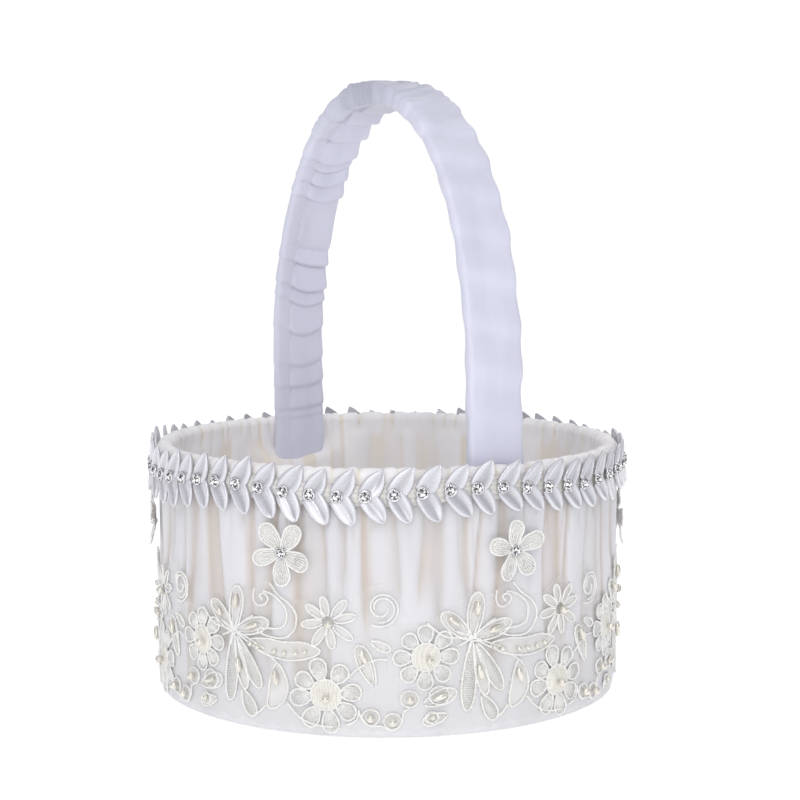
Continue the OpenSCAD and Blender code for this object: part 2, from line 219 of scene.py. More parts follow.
class Shade(Nodes):
    """A material made of nodes."""

    def __init__(self, name):
        self.material = bpy.data.materials.new(name)
        self.material.use_nodes = True
        super().__init__(self.material.node_tree)

    def place(self):
        return self.node("ShaderNodeTexCoord", out="Object")

    def flat_place(self):
        return self.node("ShaderNodeTexCoord", out="UV")

    def stretched(self, place, x, y, z):
        return self.node("ShaderNodeMapping", {"Vector": place, "Scale": (x, y, z)})

    def own(self, name):
        """A value stored on the piece itself."""
        return self.node("ShaderNodeAttribute", out="Fac", attribute_name=name)

    def noise(self, place, scale, detail=2.0, rough=0.5):
        return self.node("ShaderNodeTexNoise", {"Vector": place, "Scale": scale, "Detail": detail,
                                                "Roughness": rough})

    def between(self, value, low, high):
        """0 below low, 1 above high, smooth between."""
        return self.node("ShaderNodeMapRange", {"Value": value, "From Min": low, "From Max": high},
                         interpolation_type="SMOOTHSTEP")

    def mix(self, a, b, factor):
        def rgba(c):
            return c if isinstance(c, Value) else (*c, 1.0)
        return self.node("ShaderNodeMix", {0: factor, 6: rgba(a), 7: rgba(b)}, out=2, data_type="RGBA")

    def bump(self, height, strength, distance):
        return self.node("ShaderNodeBump", {"Height": height, "Strength": strength,
                                            "Distance": distance})

    def finish(self, base, rough, **sockets):
        """Ends the material in one Principled shader. Sockets are named with _ for spaces."""
        values = {"Base Color": base if isinstance(base, Value) else (*base, 1.0), "Roughness": rough}
        values.update({key.replace("_", " "): value for key, value in sockets.items()})
        self.add("ShaderNodeOutputMaterial", {"Surface": self.node("ShaderNodeBsdfPrincipled", values)})
        return self.material


def darker(tint, share):
    return tuple(c * share for c in tint)


def satin(name, crest, crease, rough=0.42, streaks=(260.0, 260.0, 26.0), show=0.25, coat=0.0, lustre=0.0):
    """Smooth satin. The stored fold value paints shade into its creases and highlight onto its crests, faint
    painted sheen bands run up and down it, and fine streaks run along its floats.
    Show is the depth of the streaks, and lustre how much it shines like metal."""
    m = Shade(name)
    place = m.place()
    fold = m.own("fold")
    sheen_bands = m.noise(m.stretched(place, 1.0, 1.0, 0.2), 55.0, 3.0)
    # painted shade and highlight: from the crease colour to the crest colour by the stored fold value
    body = m.mix(crease, crest, m.between(fold, 0.0, 0.75))
    # painted sheen: faint darker bands that run up and down the satin
    body = m.mix(body, darker(crest, 0.86), m.between(sheen_bands, 0.42, 0.66) * 0.6)
    streak = m.noise(m.stretched(place, *streaks), 6.0, 3.0, 0.6)
    fine = m.noise(m.stretched(place, 1.0, 1.0, 1.0), 2600.0, 1.0)
    height = streak * 0.7 + fine * 0.3
    return m.finish(body, m.between(streak, 0.2, 0.8) * 0.14 + rough,
                    Normal=m.bump(height, show, 0.0004), Sheen_Weight=0.25, Sheen_Roughness=0.4,
                    Specular_IOR_Level=0.5, Coat_Weight=coat, Coat_Roughness=0.12, Metallic=lustre)


def board(name, tint):
    """Pressed paper board, blotchy with its fibres."""
    m = Shade(name)
    place = m.place()
    fibre = m.noise(m.stretched(place, 400.0, 400.0, 90.0), 3.0, 4.0)
    return m.finish(m.mix(darker(tint, 0.8), tint, fibre), fibre * 0.2 + 0.7,
                    Normal=m.bump(fibre, 0.3, 0.0003))


def wadding(name, tint):
    """Soft foam or wadding, open and matt."""
    m = Shade(name)
    cells = m.noise(m.place(), 900.0, 3.0, 0.7)
    return m.finish(m.mix(darker(tint, 0.75), tint, cells), cells * 0.1 + 0.85,
                    Normal=m.bump(cells, 0.5, 0.0006))


def plain_plastic(name, tint):
    m = Shade(name)
    marks = m.noise(m.stretched(m.place(), 40.0, 900.0, 40.0), 3.0, 3.0)
    return m.finish(m.mix(darker(tint, 0.9), tint, marks), marks * 0.15 + 0.45,
                    Normal=m.bump(marks, 0.1, 0.0002))


def bright_metal(name, tint, rough):
    """Plated metal with fine handling marks."""
    m = Shade(name)
    marks = m.noise(m.place(), 1500.0, 3.0)
    return m.finish(m.mix(darker(tint, 0.8), tint, marks),
                    m.between(marks, 0.3, 0.7) * 0.15 + rough, Metallic=1.0,
                    Normal=m.bump(marks, 0.1, 0.0001))


def cut_stone(name):
    """A foil-backed stone. Its facets carry painted reflections: each gets a light or dark colour, with more
    metal on the light ones.
    """
    m = Shade(name)
    painted_facet_light = m.own("painted_facet_light")
    # painted reflections: the stored value of each of the facets picks a colour from black to white
    tint = m.node("ShaderNodeValToRGB", {"Fac": painted_facet_light},
                  stops=[(0.0, (0.02, 0.02, 0.02)), (0.42, (0.11, 0.105, 0.10)), (0.62, (0.42, 0.41, 0.39)),
                         (0.84, (0.95, 0.95, 0.96))])
    return m.finish(tint, 0.04, Metallic=m.between(painted_facet_light, 0.1, 0.7) * 0.6 + 0.3,
                    Coat_Weight=1.0, Coat_Roughness=0.02)


def pearl_lacquer(name, tint):
    """Pearl: a soft lustre over ivory, greyer in places."""
    m = Shade(name)
    cloud = m.noise(m.place(), 160.0, 2.0)
    body = m.mix(tint, darker(tint, 0.86), m.between(cloud, 0.4, 0.7))
    return m.finish(body, cloud * 0.1 + 0.13,
                    Coat_Weight=1.0, Coat_Roughness=0.04, Specular_IOR_Level=0.9, Metallic=0.5)


def lace_cord(name, tint):
    """Twisted cotton cord."""
    m = Shade(name)
    place = m.place()
    strand = m.noise(place, 1500.0, 2.0)
    age = m.noise(place, 45.0, 2.0)
    body = m.mix(darker(tint, 0.82), tint, m.between(strand, 0.35, 0.6))
    body = m.mix(body, (0.86, 0.86, 0.86), m.between(age, 0.4, 0.65) * 0.6)
    return m.finish(body, strand * 0.2 + 0.5, Normal=m.bump(strand, 0.5, 0.0002), Sheen_Weight=0.2)


def net(name, tint, filling, cell, holes):
    """Fine net: threads round open cells of the given width. Holes let this much of the cloth show."""
    m = Shade(name)
    flat = m.flat_place()
    edge = m.node("ShaderNodeTexVoronoi", {"Vector": flat, "Scale": 1.0 / (cell * MM), "Randomness": 0.35},
                  voronoi_dimensions="2D", feature="DISTANCE_TO_EDGE")
    thread = 1.0 - m.between(edge, 0.07, 0.17)
    filled = m.own("fold")
    patch = m.noise(m.place(), 70.0, 2.0)
    body = m.mix(darker(tint, 0.93), tint, patch)
    return m.finish(m.mix(body, filling, filled), patch * 0.2 + 0.5,
                    Alpha=thread * 0.1 + holes + filled * 0.4, Normal=m.bump(thread, 0.03, 0.0002))


def woven_tape(name, tint):
    """Woven tape with crossing threads."""
    m = Shade(name)
    flat = m.flat_place()
    across = m.node("ShaderNodeTexWave", {"Vector": flat, "Scale": 420.0, "Distortion": 1.0},
                    wave_type="BANDS", bands_direction="X")
    along = m.node("ShaderNodeTexWave", {"Vector": flat, "Scale": 300.0, "Distortion": 1.0},
                   wave_type="BANDS", bands_direction="Y")
    weave = across * 0.5 + along * 0.5
    return m.finish(m.mix(darker(tint, 0.72), tint, weave), weave * 0.1 + 0.6,
                    Normal=m.bump(weave, 0.6, 0.0003), Sheen_Weight=0.2)


def woven_dome(name, tint):
    """Coarse woven cloth with a checked grain."""
    m = Shade(name)
    place = m.place()
    cells = m.node("ShaderNodeTexVoronoi", {"Vector": place, "Scale": 1300.0, "Randomness": 0.3},
                   feature="DISTANCE_TO_EDGE")
    holes = m.between(cells, 0.05, 0.3)
    return m.finish(m.mix(tint, darker(tint, 0.8), holes), holes * 0.1 + 0.55,
                    Normal=m.bump(1.0 - holes, 0.5, 0.0003))


MATERIALS = {}


def make_materials():
    """Makes every finish once."""
    c = sizes("colours")
    MATERIALS.update(
        outer_satin=satin("outer_satin", tuple(c.satin), tuple(c.satin_crease_shade)),
        lining_satin=satin("lining_satin", tuple(c.lining), tuple(c.lining_crease_shade), rough=0.5),
        handle_satin=satin("handle_satin", tuple(c.sleeve), tuple(c.sleeve_crease_shade), rough=0.36,
                           streaks=(40.0, 300.0, 40.0)),
        # painted shade in the hollows of the leaves: 0.6 of the leaf colour
        leaf_satin=satin("leaf_satin", tuple(c.leaf), darker(c.leaf, 0.6), rough=0.17,
                         streaks=(500.0, 500.0, 500.0), show=0.05, coat=1.0, lustre=0.3),
        board=board("board", (0.72, 0.62, 0.46)),
        foam=wadding("foam", (0.90, 0.82, 0.58)),
        white_wadding=wadding("white_wadding", (0.86, 0.86, 0.88)),
        strip_plastic=plain_plastic("strip_plastic", (0.8, 0.8, 0.8)),
        staple_steel=bright_metal("staple_steel", (0.7, 0.7, 0.72), 0.25),
        silver_cup=bright_metal("silver_cup", (0.82, 0.82, 0.84), 0.12),
        stone=cut_stone("stone"),
        pearl=pearl_lacquer("pearl", tuple(c.pearl)),
        lace_cord=lace_cord("lace_cord", tuple(c.lace)),
        lace_net=net("lace_net", (0.93, 0.92, 0.90), (0.97, 0.96, 0.93), 0.8, 0.16),
        organza=net("organza", (0.97, 0.962, 0.93), (0.97, 0.962, 0.93), 0.6, 0.5),
        lace_dome=woven_dome("lace_dome", (0.88, 0.86, 0.79)),
        base_cloth=woven_tape("base_cloth", (0.86, 0.86, 0.87)),
        tape=woven_tape("tape", (0.90, 0.88, 0.84)),
    )


# ---------------------------------------------------------------- making meshes

def new_object(name, mesh):
    obj = bpy.data.objects.new(name, mesh)
    bpy.context.scene.collection.objects.link(obj)
    return obj


def mesh_from(name, points, faces, smooth=True):
    """A mesh from points in millimetres."""
    mesh = bpy.data.meshes.new(name)
    mesh.from_pydata((np.asarray(points, dtype=float).reshape(-1, 3) * MM).tolist(), [], faces)
    mesh.polygons.foreach_set("use_smooth", [smooth] * len(mesh.polygons))
    return mesh


def store(mesh, name, values, domain="POINT"):
    """Keeps one number for each point or face of a mesh, for its material to read."""
    kept = mesh.attributes.new(name, "FLOAT", domain)
    kept.data.foreach_set("value", np.asarray(values, dtype=np.float32).ravel())


def grid_faces(rows, cols, wrap_rows=False, wrap_cols=False, flip=False):
    r = np.arange(rows if wrap_rows else rows - 1)
    c = np.arange(cols if wrap_cols else cols - 1)
    rr, cc = np.meshgrid(r, c, indexing="ij")
    r1, c1 = (rr + 1) % rows, (cc + 1) % cols
    quads = np.stack([rr * cols + cc, rr * cols + c1, r1 * cols + c1, r1 * cols + cc], -1)
    quads = quads.reshape(-1, 4)
    return quads[:, ::-1] if flip else quads


def cloth(name, points, flat, wrap=False, flip=False, fold=None, wrap_rows=False):
    """A sheet from a grid of points. Its flat size is kept as a UV map, and its fold values are stored:
    painted shade on the satin cloths, filled places on the net.
    """
    rows, cols = points.shape[:2]
    mesh = mesh_from(name, points, grid_faces(rows, cols, wrap_rows, wrap, flip).tolist())
    if fold is not None:
        store(mesh, "fold", fold)
    if wrap_rows:
        flat = np.concatenate([flat, flat[:1]])
    r = np.arange(rows if wrap_rows else rows - 1)
    c = np.arange(cols if wrap else cols - 1)
    rr, cc = np.meshgrid(r, c, indexing="ij")
    corners = np.stack([flat[rr + dr, cc + dc] for dr, dc in ((0, 0), (0, 1), (1, 1), (1, 0))], 2)
    corners = corners.reshape(-1, 4, 2) * MM
    if flip:
        corners = corners[:, ::-1]
    mesh.uv_layers.new(name="flat").data.foreach_set("uv", corners.astype(np.float32).ravel())
    return mesh


def joined(parts):
    """One list of points and one of faces from several (points, faces)."""
    points, faces = [], []
    for p, f in parts:
        start = sum(len(q) for q in points)
        points.append(np.asarray(p, dtype=float).reshape(-1, 3))
        faces += [[i + start for i in face] for face in f]
    return np.concatenate(points), faces


def lathe(profile, count):
    """Points and faces of a profile [(radius, height)] turned about Z, closed at its ends on the axis."""
    a = np.arange(count) * 2 * math.pi / count
    inner = profile[1:-1]
    points = [(r * math.cos(t), r * math.sin(t), z) for r, z in inner for t in a]
    faces = grid_faces(len(inner), count, wrap_cols=True).tolist()
    first, last = len(points), len(points) + 1
    points += [(0, 0, profile[0][1]), (0, 0, profile[-1][1])]
    top = (len(inner) - 1) * count
    for i in range(count):
        j = (i + 1) % count
        faces += [[first, j, i], [last, top + i, top + j]]
    return points, faces


def finish_piece(obj, material, slot, *nodes):
    """Gives a piece its finish and its body, and hides the CAD nodes that it stands for."""
    obj.data.materials.clear()
    obj.data.materials.append(MATERIALS[material])
    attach(obj, "root")
    if nodes:
        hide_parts(*nodes)
    return obj


# ---------------------------------------------------------------- node trees that grow pieces

class Growth(Nodes):
    """A geometry tree with named inputs: [(name, socket type, default)]."""

    def __init__(self, name, inputs):
        super().__init__(bpy.data.node_groups.new(name, "GeometryNodeTree"))
        sockets = self.tree.interface
        sockets.new_socket("Geometry", in_out="INPUT", socket_type="NodeSocketGeometry")
        sockets.new_socket("Geometry", in_out="OUTPUT", socket_type="NodeSocketGeometry")
        for label, kind, default in inputs:
            socket = sockets.new_socket(label, in_out="INPUT", socket_type=kind)
            if default is not None:
                socket.default_value = default

    def given(self, name):
        """One of the tree's named inputs."""
        return self.node("NodeGroupInput", out=name)

    def finish(self, shape):
        """Ends the tree: copies become plain mesh and take the finish."""
        real = self.node("GeometryNodeRealizeInstances", {0: shape})
        painted = self.node("GeometryNodeSetMaterial", {"Geometry": real, "Material": self.given("Finish")})
        self.add("NodeGroupOutput", {0: painted})
        return self.tree


def cord_tree():
    """Runs a round cord along every line of the piece."""
    t = Growth("cord along lines", [("Width", "NodeSocketFloat", 0.001), ("Sides", "NodeSocketInt", 6),
                                    ("Finish", "NodeSocketMaterial", None)])
    lines = t.node("GeometryNodeMeshToCurve", {"Mesh": t.given("Geometry")})
    ring = t.node("GeometryNodeCurvePrimitiveCircle", {"Radius": t.given("Width") * 0.5,
                                                       "Resolution": t.given("Sides")})
    cord = t.node("GeometryNodeCurveToMesh", {"Curve": lines, "Profile Curve": ring, "Fill Caps": True})
    return t.finish(t.node("GeometryNodeSetShadeSmooth", {0: cord}))


def copies_tree():
    """Puts a copy of a small piece on every point, turned and sized by what the point stores."""
    t = Growth("copies on points", [("Piece", "NodeSocketObject", None),
                                    ("Finish", "NodeSocketMaterial", None)])
    turn, size = [t.node("GeometryNodeInputNamedAttribute", {"Name": name}, data_type="FLOAT_VECTOR")
                  for name in ("turn", "size")]
    piece = t.node("GeometryNodeObjectInfo", {"Object": t.given("Piece")}, out="Geometry")
    rotation = t.node("FunctionNodeEulerToRotation", {0: turn})
    return t.finish(t.node("GeometryNodeInstanceOnPoints", {"Points": t.given("Geometry"), "Instance": piece,
                                                            "Rotation": rotation, "Scale": size}))


TREES = {}


def grown(name, mesh, tree, **inputs):
    """The plain mesh that a tree makes from a source mesh, as a new object."""
    if tree.__name__ not in TREES:
        TREES[tree.__name__] = tree()
    group = TREES[tree.__name__]
    obj = new_object(name, mesh)
    modifier = obj.modifiers.new("grow", "NODES")
    modifier.node_group = group
    for item in group.interface.items_tree:
        if item.in_out == "INPUT" and item.name in inputs:
            modifier[item.identifier] = inputs[item.name]
    shaped = obj.evaluated_get(bpy.context.evaluated_depsgraph_get())
    result = bpy.data.meshes.new_from_object(shaped)
    result.name = name
    obj.modifiers.clear()
    obj.data = result
    return obj


def cords(name, lines, width, material, sides=6):
    """Cord along lines of points in millimetres: [(points, closed)]."""
    points, edges = [], []
    for line, closed in lines:
        first, count = len(points), len(line)
        points += [tuple(p) for p in line]
        edges += [(first + i, first + i + 1) for i in range(count - 1)]
        if closed:
            edges.append((first + count - 1, first))
    mesh = bpy.data.meshes.new(name)
    mesh.from_pydata((np.asarray(points) * MM).tolist(), edges, [])
    return grown(name, mesh, cord_tree, Width=width * MM, Sides=sides, Finish=MATERIALS[material])


def copies(name, piece_mesh, frames, material):
    """Copies of a small mesh at frames: [(place, rotation matrix, size)]."""
    mesh = bpy.data.meshes.new(name)
    mesh.from_pydata([tuple(v * MM for v in place) for place, _, _ in frames], [], [])
    turns = mesh.attributes.new("turn", "FLOAT_VECTOR", "POINT")
    turns.data.foreach_set("vector", [v for _, r, _ in frames for v in r.to_euler("XYZ")])
    scales = mesh.attributes.new("size", "FLOAT_VECTOR", "POINT")
    scales.data.foreach_set("vector", [v for _, _, s in frames for v in
                                       (s if hasattr(s, "__len__") else (s, s, s))])
    piece = new_object(name + "_one", piece_mesh)
    obj = grown(name, mesh, copies_tree, Piece=piece, Finish=MATERIALS[material])
    bpy.data.objects.remove(piece)
    return obj


# ---------------------------------------------------------------- shapes

def smooth_line(points, closed=False, per=4):
    """A smooth line through given points."""
    p = np.asarray(points, dtype=float)
    n = len(p)
    out = []
    spans = n if closed else n - 1
    for i in range(spans):
        if closed:
            a, b, c, d = p[(i - 1) % n], p[i], p[(i + 1) % n], p[(i + 2) % n]
        else:
            a, b, c, d = p[max(i - 1, 0)], p[i], p[i + 1], p[min(i + 2, n - 1)]
        for k in range(per):
            t = k / per
            out.append(0.5 * (2 * b + (c - a) * t + (2 * a - 5 * b + 4 * c - d) * t * t
                              + (3 * b - a - 3 * c + d) * t ** 3))
    if not closed:
        out.append(p[-1])
    return np.array(out)


def step01(x, low, high):
    """0 below low, 1 above high, smooth between."""
    t = np.clip((x - low) / (high - low), 0, 1)
    return t * t * (3 - 2 * t)


def facing(a, slope=0.0):
    """A rotation that lays a flat piece on the wall at angle a: its X runs round the wall at a slope,
    its Z points out."""
    out = Vector((math.cos(a), math.sin(a), 0))
    round_ = Vector((-math.sin(a), math.cos(a), 0))
    base = Matrix((round_, Vector((0, 0, 1)), out)).transposed()
    return base @ Matrix.Rotation(slope, 3, "Z")


def lace_angle(along):
    """Angle round the wall of a place along the lace, counted from the first repeat."""
    spare = TURN - repeat_starts()[-1]
    return sizes("lace").seam + (spare / 2 + along) / WALL_R


def on_wall(along, z, lift):
    """Points at places along the lace, at heights, and lifted off the wall."""
    a = lace_angle(np.asarray(along, dtype=float))
    r = NET_R + np.asarray(lift, dtype=float)
    return np.stack([r * np.cos(a), r * np.sin(a), np.asarray(z, dtype=float) + 0 * a], -1)


def round_wall(r, a, z):
    """One place at a distance from the axis, an angle and a height."""
    return Vector((r * math.cos(a), r * math.sin(a), z))


def repeats():
    """The whole repeats of the lace that fit round the wall."""
    return range(int(TURN // sizes("lace").repeat))


def repeat_starts():
    """Where each repeat begins along the lace. The seam cuts off the last one."""
    return [i * sizes("lace").repeat for i in range(len(repeats()) + 1)]


class Creases:
    """Creases of gathered cloth: grooves that start at one edge and run across it."""

    def __init__(self, seed, count, span, reach, depth, width, lean):
        rng = np.random.default_rng(seed)
        self.span = span
        self.at = (np.arange(count) + rng.uniform(-0.38, 0.38, count)) * span / count
        self.reach = reach[0] + (reach[1] - reach[0]) * rng.random(count) ** 1.6
        self.depth = rng.uniform(*depth, count)
        self.width = rng.uniform(*width, count)
        self.lean = rng.normal(0, lean, count)
        self.bend = rng.uniform(-1, 1, count)
        self.side = rng.uniform(0.22, 0.5, count)
        self.turn = np.where(rng.random(count) < 0.5, -1, 1)

    def groove(self, across, along):
        """How deep the cloth is creased at each place. along counts from the gathered edge."""
        total = np.zeros(np.broadcast(across, along).shape)
        for at, reach, depth, width, lean, bend, side, turn in zip(
                self.at, self.reach, self.depth, self.width, self.lean, self.bend, self.side, self.turn):
            far = along / reach
            centre = at + lean * along + bend * 2.2 * np.sin(along / 17.0 + at)
            d = ((across - centre + self.span / 2) % self.span - self.span / 2) * turn
            w = width * (1 + 0.9 * np.clip(far, 0, 1))
            w = np.where(d > 0, w, w * side)
            total += depth * np.exp(-np.abs(d) / w) * (1 - step01(far, 0.45, 1.0))
        return total


def swell(seed, across, along, span, waves, size):
    """Slow uneven swelling of cloth, the same after one turn."""
    rng = np.random.default_rng(seed)
    total = np.zeros(np.broadcast(across, along).shape)
    for k in waves:
        total += np.sin(across / span * 2 * math.pi * k + rng.uniform(0, 6.3)
                        + rng.normal(0, 0.02) * along) * rng.uniform(0.5, 1)
    return total / len(waves) * size


# ---------------------------------------------------------------- satin, lining and floor pad

# Height of the upper edge of the lining's pocket for a handle foot, and how far out its inner face lies
POCKET_TOP = 84.0
HANDLE_IN = STRAP_X - 5.0
# The rolled edge of the lining: middle of its round, in distance from the axis and in height
ROLL_R, ROLL_Z = LAP_R - 3.4, RIM_Z - 3.4
# Columns of points round each cloth of the wall
COLUMNS = 720


def round_grid(columns, rows):
    """Angles of the columns, and their distance round the wall, for a cloth that goes all round."""
    a = np.arange(columns) * 2 * math.pi / columns
    return a[None, :] + 0 * rows[:, None], a[None, :] * WALL_R + 0 * rows[:, None]


def polar(r, a, z):
    return np.stack([r * np.cos(a), r * np.sin(a), z + 0 * a], -1)


def flat_map(columns, down):
    """Flat place of a round cloth: distance round the wall and distance from its top edge."""
    across = np.arange(columns + 1) * TURN / columns
    return np.stack(np.meshgrid(across, down, indexing="xy"), -1)


def build_outer_satin():
    """The gathered outer cloth, from behind the rim down the wall and round its foot."""
    top = 90.2
    drops = np.concatenate([np.linspace(0, 80.0, 92), np.linspace(81.0, 91.0, 14)])
    a, across = round_grid(COLUMNS, drops)
    down = drops[:, None] + 0 * a
    below_trim = np.clip(down - 8.0, 0, None)
    gathers = Creases(3, 66, TURN, (34, 110), (0.9, 2.7), (1.5, 3.6), 0.05)
    small = Creases(8, 90, TURN, (8, 34), (0.3, 1.0), (0.7, 1.5), 0.05)
    groove = gathers.groove(across, below_trim) + small.groove(across, below_trim)
    slow = swell(4, across, down, TURN, (9, 14, 23, 31), 0.9) + \
        swell(5, across, down, TURN, (47, 61), 0.3) * (1 - step01(down, 30, 60))
    lower = step01(down, 30, 44)
    # the cloth stands off the board, but stays under the net and the trim
    r = WALL_R + 0.15 + slow * (1 - 0.55 * lower) - groove * (1 - 0.35 * lower)
    most = WALL_R + 0.95 - 0.95 * lower - 1.2 * (1 - step01(down, 2, 7))
    r = np.clip(r, WALL_R - 1.5, most)
    r = r - 0.9 * np.clip((down - 84.0) / 7.0, 0, 1) ** 2
    # its hem turns in under the bottom
    under = np.clip((drops[:, None] - 89.5) / 1.5, 0, 1)
    r = np.where(under > 0, np.minimum(r, WALL_R - 1.1) - 1.7 * under, r)
    z = np.where(under > 0, 0.7 - 0.45 * np.sin(under * math.pi / 2), top - down)
    # painted shade and light: darker in the creases of the gathers, lighter where the cloth swells out
    fold = np.clip(1 - groove / 1.9, 0, 1) * 0.75 + 0.25 * np.clip(0.5 + slow, 0, 1)
    mesh = cloth("outer_satin_cloth", polar(r, a, z), flat_map(COLUMNS, drops), wrap=True, fold=fold)
    obj = finish_piece(new_object("outer_satin_cloth", mesh), "outer_satin", "outer_satin", "outer_satin")


def lining_path():
    """Radius and height of the lining from the floor, up the wall, over the rim and down the outside."""
    roll, wall_r, low = 3.2, 84.75, 4.6
    up = [(wall_r, z) for z in np.linspace(low, ROLL_Z - 1.0, 62)]
    over = [(ROLL_R + roll * math.cos(t), ROLL_Z + roll * math.sin(t)) for t in
            np.linspace(math.radians(172), 0, 20)]
    down = [(ROLL_R + roll - 0.1, z) for z in np.linspace(ROLL_Z - 0.8, RIM_Z - 11.8, 9)]
    path = np.array(up + over + down)
    step = np.hypot(*np.diff(path, axis=0).T)
    return path, np.concatenate([[0], np.cumsum(step)])


def build_lining():
    """The lining: soft upright folds inside, small pleats over the rim, and a pocket for each foot."""
    path, run = lining_path()
    a, across = round_grid(COLUMNS, run)
    z0, r0 = path[:, 1][:, None] + 0 * a, path[:, 0][:, None] + 0 * a
    inner_half = (run < 88.0)[:, None]
    inside_wall = (run < 85.0)[:, None] * (1 - step01(z0, RIM_Z - 12, RIM_Z - 4))
    from_rim = np.clip(RIM_Z - 5 - z0, 0, None)
    folds = Creases(12, 66, TURN, (40, 150), (0.8, 2.3), (1.6, 4.6), 0.05)
    groove = folds.groove(across, from_rim)
    slow = swell(13, across, z0, TURN, (7, 11, 17, 25), 0.8)
    puff = np.clip(1.0 + slow - groove, 0, 2.4) * inside_wall * step01(z0, 11, 22)
    pleats = Creases(15, 96, TURN, (40, 41), (0.7, 1.6), (0.9, 2.1), 0.04)
    pleat = pleats.groove(across, 2.0 + 0 * z0)
    over = step01(z0, RIM_Z - 12, RIM_Z - 4)
    side = np.minimum(np.abs(a % math.pi), math.pi - a % math.pi) * WALL_R
    brim = POCKET_TOP - 1.0 - 2.0 * np.cos(side / 9.0) + 1.2 * np.sin(across / 7.0)
    pocket = (1 - step01(side, 11.5, 30.0)) ** 1.3 * (1 - step01(z0, brim - 5.0, brim + 4.0)) * \
        step01(z0, 20, 52) * inner_half
    near_foot = 1 - step01(side, 14, 20)
    r = r0 - puff * (1 - near_foot * 0.9)
    r = r * (1 - pocket) + (HANDLE_IN - 1.1 - 0.5 * groove) * pocket
    out = np.stack([r0 - ROLL_R, z0 - ROLL_Z], -1)
    out /= np.maximum(np.hypot(out[..., 0], out[..., 1]), 1e-6)[..., None]
    lift = (0.35 - pleat * 0.75 + 0.35 * swell(16, across, 0 * z0, TURN, (31, 43, 57), 1.0)) * over
    outside = (run > 96.0)[:, None]
    r = r + np.where(outside, np.minimum(lift, 0.0), lift * out[..., 0])
    z = z0 + np.where(outside, 0.0, lift * out[..., 1])
    # painted shade: darker in the folds of the inner wall and the pleats over the rim; below the rim it also
    # turns towards the crease colour in cream patches
    fold = np.clip(1 - groove / 1.6, 0, 1) * (1 - over) + np.clip(1 - pleat / 1.2, 0, 1) * over
    warm = swell(17, across, z0 * 0.3, TURN, (5, 8, 13, 19, 29, 41), 1.0)
    fold = (0.2 + 0.8 * fold) * (1 - 0.8 * (1 - over) * step01(warm, -0.05, 0.5) * (1 - step01(z0, 78, 94)))
    mesh = cloth("lining_cloth", polar(r, a, z), flat_map(COLUMNS, run), wrap=True, flip=True, fold=fold)
    obj = finish_piece(new_object("lining_cloth", mesh), "lining_satin", "lining_satin", "lining_satin")


def build_floor_pad():
    """The padded floor: a satin disc blown up softly by a cloth simulation over its foam."""
    low, top, edge = PAD_LOW, PAD_TOP - 0.3, PAD_R - 1.2
    rings = 26
    radii = edge * np.sin(np.linspace(0, math.pi / 2, rings)) ** 0.9
    profile = [(0, top)] + [(r, top - 0.3 * (r / edge) ** 8) for r in radii[1:]]
    profile += [(edge + 0.6, top - 1.2), (edge + 0.8, (top + low) / 2), (edge + 0.8, low + 0.7), (edge, low)]
    profile += [(r, low) for r in np.linspace(edge - 6, 5, 12)] + [(0, low)]
    points, faces = lathe(profile[::-1], 120)
    rest = np.array(points)
    points = swollen(rest, faces)
    pulled = np.array(points)
    r = np.hypot(pulled[:, 0], pulled[:, 1])
    a = np.arctan2(pulled[:, 1], pulled[:, 0])
    near_edge = step01(r, edge - 16, edge - 1) * (rest[:, 2] > top - 2.5)
    pucker = np.abs(np.sin(a * 34 + 1.5 * np.sin(a * 5))) ** 0.6
    pulled[:, 2] = np.minimum(pulled[:, 2], PAD_TOP + 0.4) - near_edge * (1 - pucker) * 0.5
    keep = np.minimum(1.0, (PAD_R - 0.25) / np.maximum(r, 1e-6))
    pulled[:, 0] *= keep
    pulled[:, 1] *= keep
    pulled[:, 2] = np.maximum(pulled[:, 2], PAD_LOW)
    mesh = mesh_from("floor_pad", pulled, faces)
    # painted shade in the puckers round the edge of the pad
    store(mesh, "fold", np.clip(1 - near_edge * (1 - pucker) * 0.8, 0, 1))
    obj = new_object("floor_pad", mesh)
    smooth = obj.modifiers.new("smooth", "SUBSURF")
    smooth.levels = smooth.render_levels = 1
    finish_piece(obj, "lining_satin", "lining_satin", "floor_satin")


def build_floor_foam():
    """The foam inside the floor pad, soft at its edges."""
    top, edge = PAD_TOP - 2.2, PAD_R - 3.2
    profile = [(0, FOAM_LOW), (edge - 1.2, FOAM_LOW), (edge - 0.3, FOAM_LOW + 0.4), (edge, FOAM_LOW + 1.4),
               (edge, top - 1.4), (edge - 0.4, top - 0.4), (edge - 1.4, top), (0, top)]
    points, faces = lathe(profile, 96)
    obj = finish_piece(new_object("floor_foam_soft", mesh_from("floor_foam_soft", points, faces)),
                       "foam", "foam", "floor_foam")


def swollen(rest, faces, pressure=3.0, most=1.6):
    """A closed cloth after it is blown up for 20 steps. No point moves further than most."""
    sim = new_object("swelling", mesh_from("swelling", rest, faces))
    cloth_mod = sim.modifiers.new("cloth", "CLOTH")
    settings = cloth_mod.settings
    settings.quality = 6
    settings.use_pressure = True
    settings.uniform_pressure_force = pressure
    settings.effector_weights.gravity = 0
    settings.tension_stiffness = settings.compression_stiffness = 20
    settings.bending_stiffness = 1.0
    cloth_mod.point_cache.frame_start = 1
    cloth_mod.point_cache.frame_end = 20
    scene = bpy.context.scene
    for step in range(1, 21):
        scene.frame_set(step)
    shaped = sim.evaluated_get(bpy.context.evaluated_depsgraph_get())
    moved = np.empty(len(rest) * 3)
    shaped.data.vertices.foreach_get("co", moved)
    shift = moved.reshape(-1, 3) / MM - rest
    size = np.linalg.norm(shift, axis=1)
    shift *= np.minimum(1.0, most / np.maximum(size, 1e-9))[:, None]
    bpy.data.objects.remove(sim)
    scene.frame_set(1)
    return rest + shift


# ---------------------------------------------------------------- handle

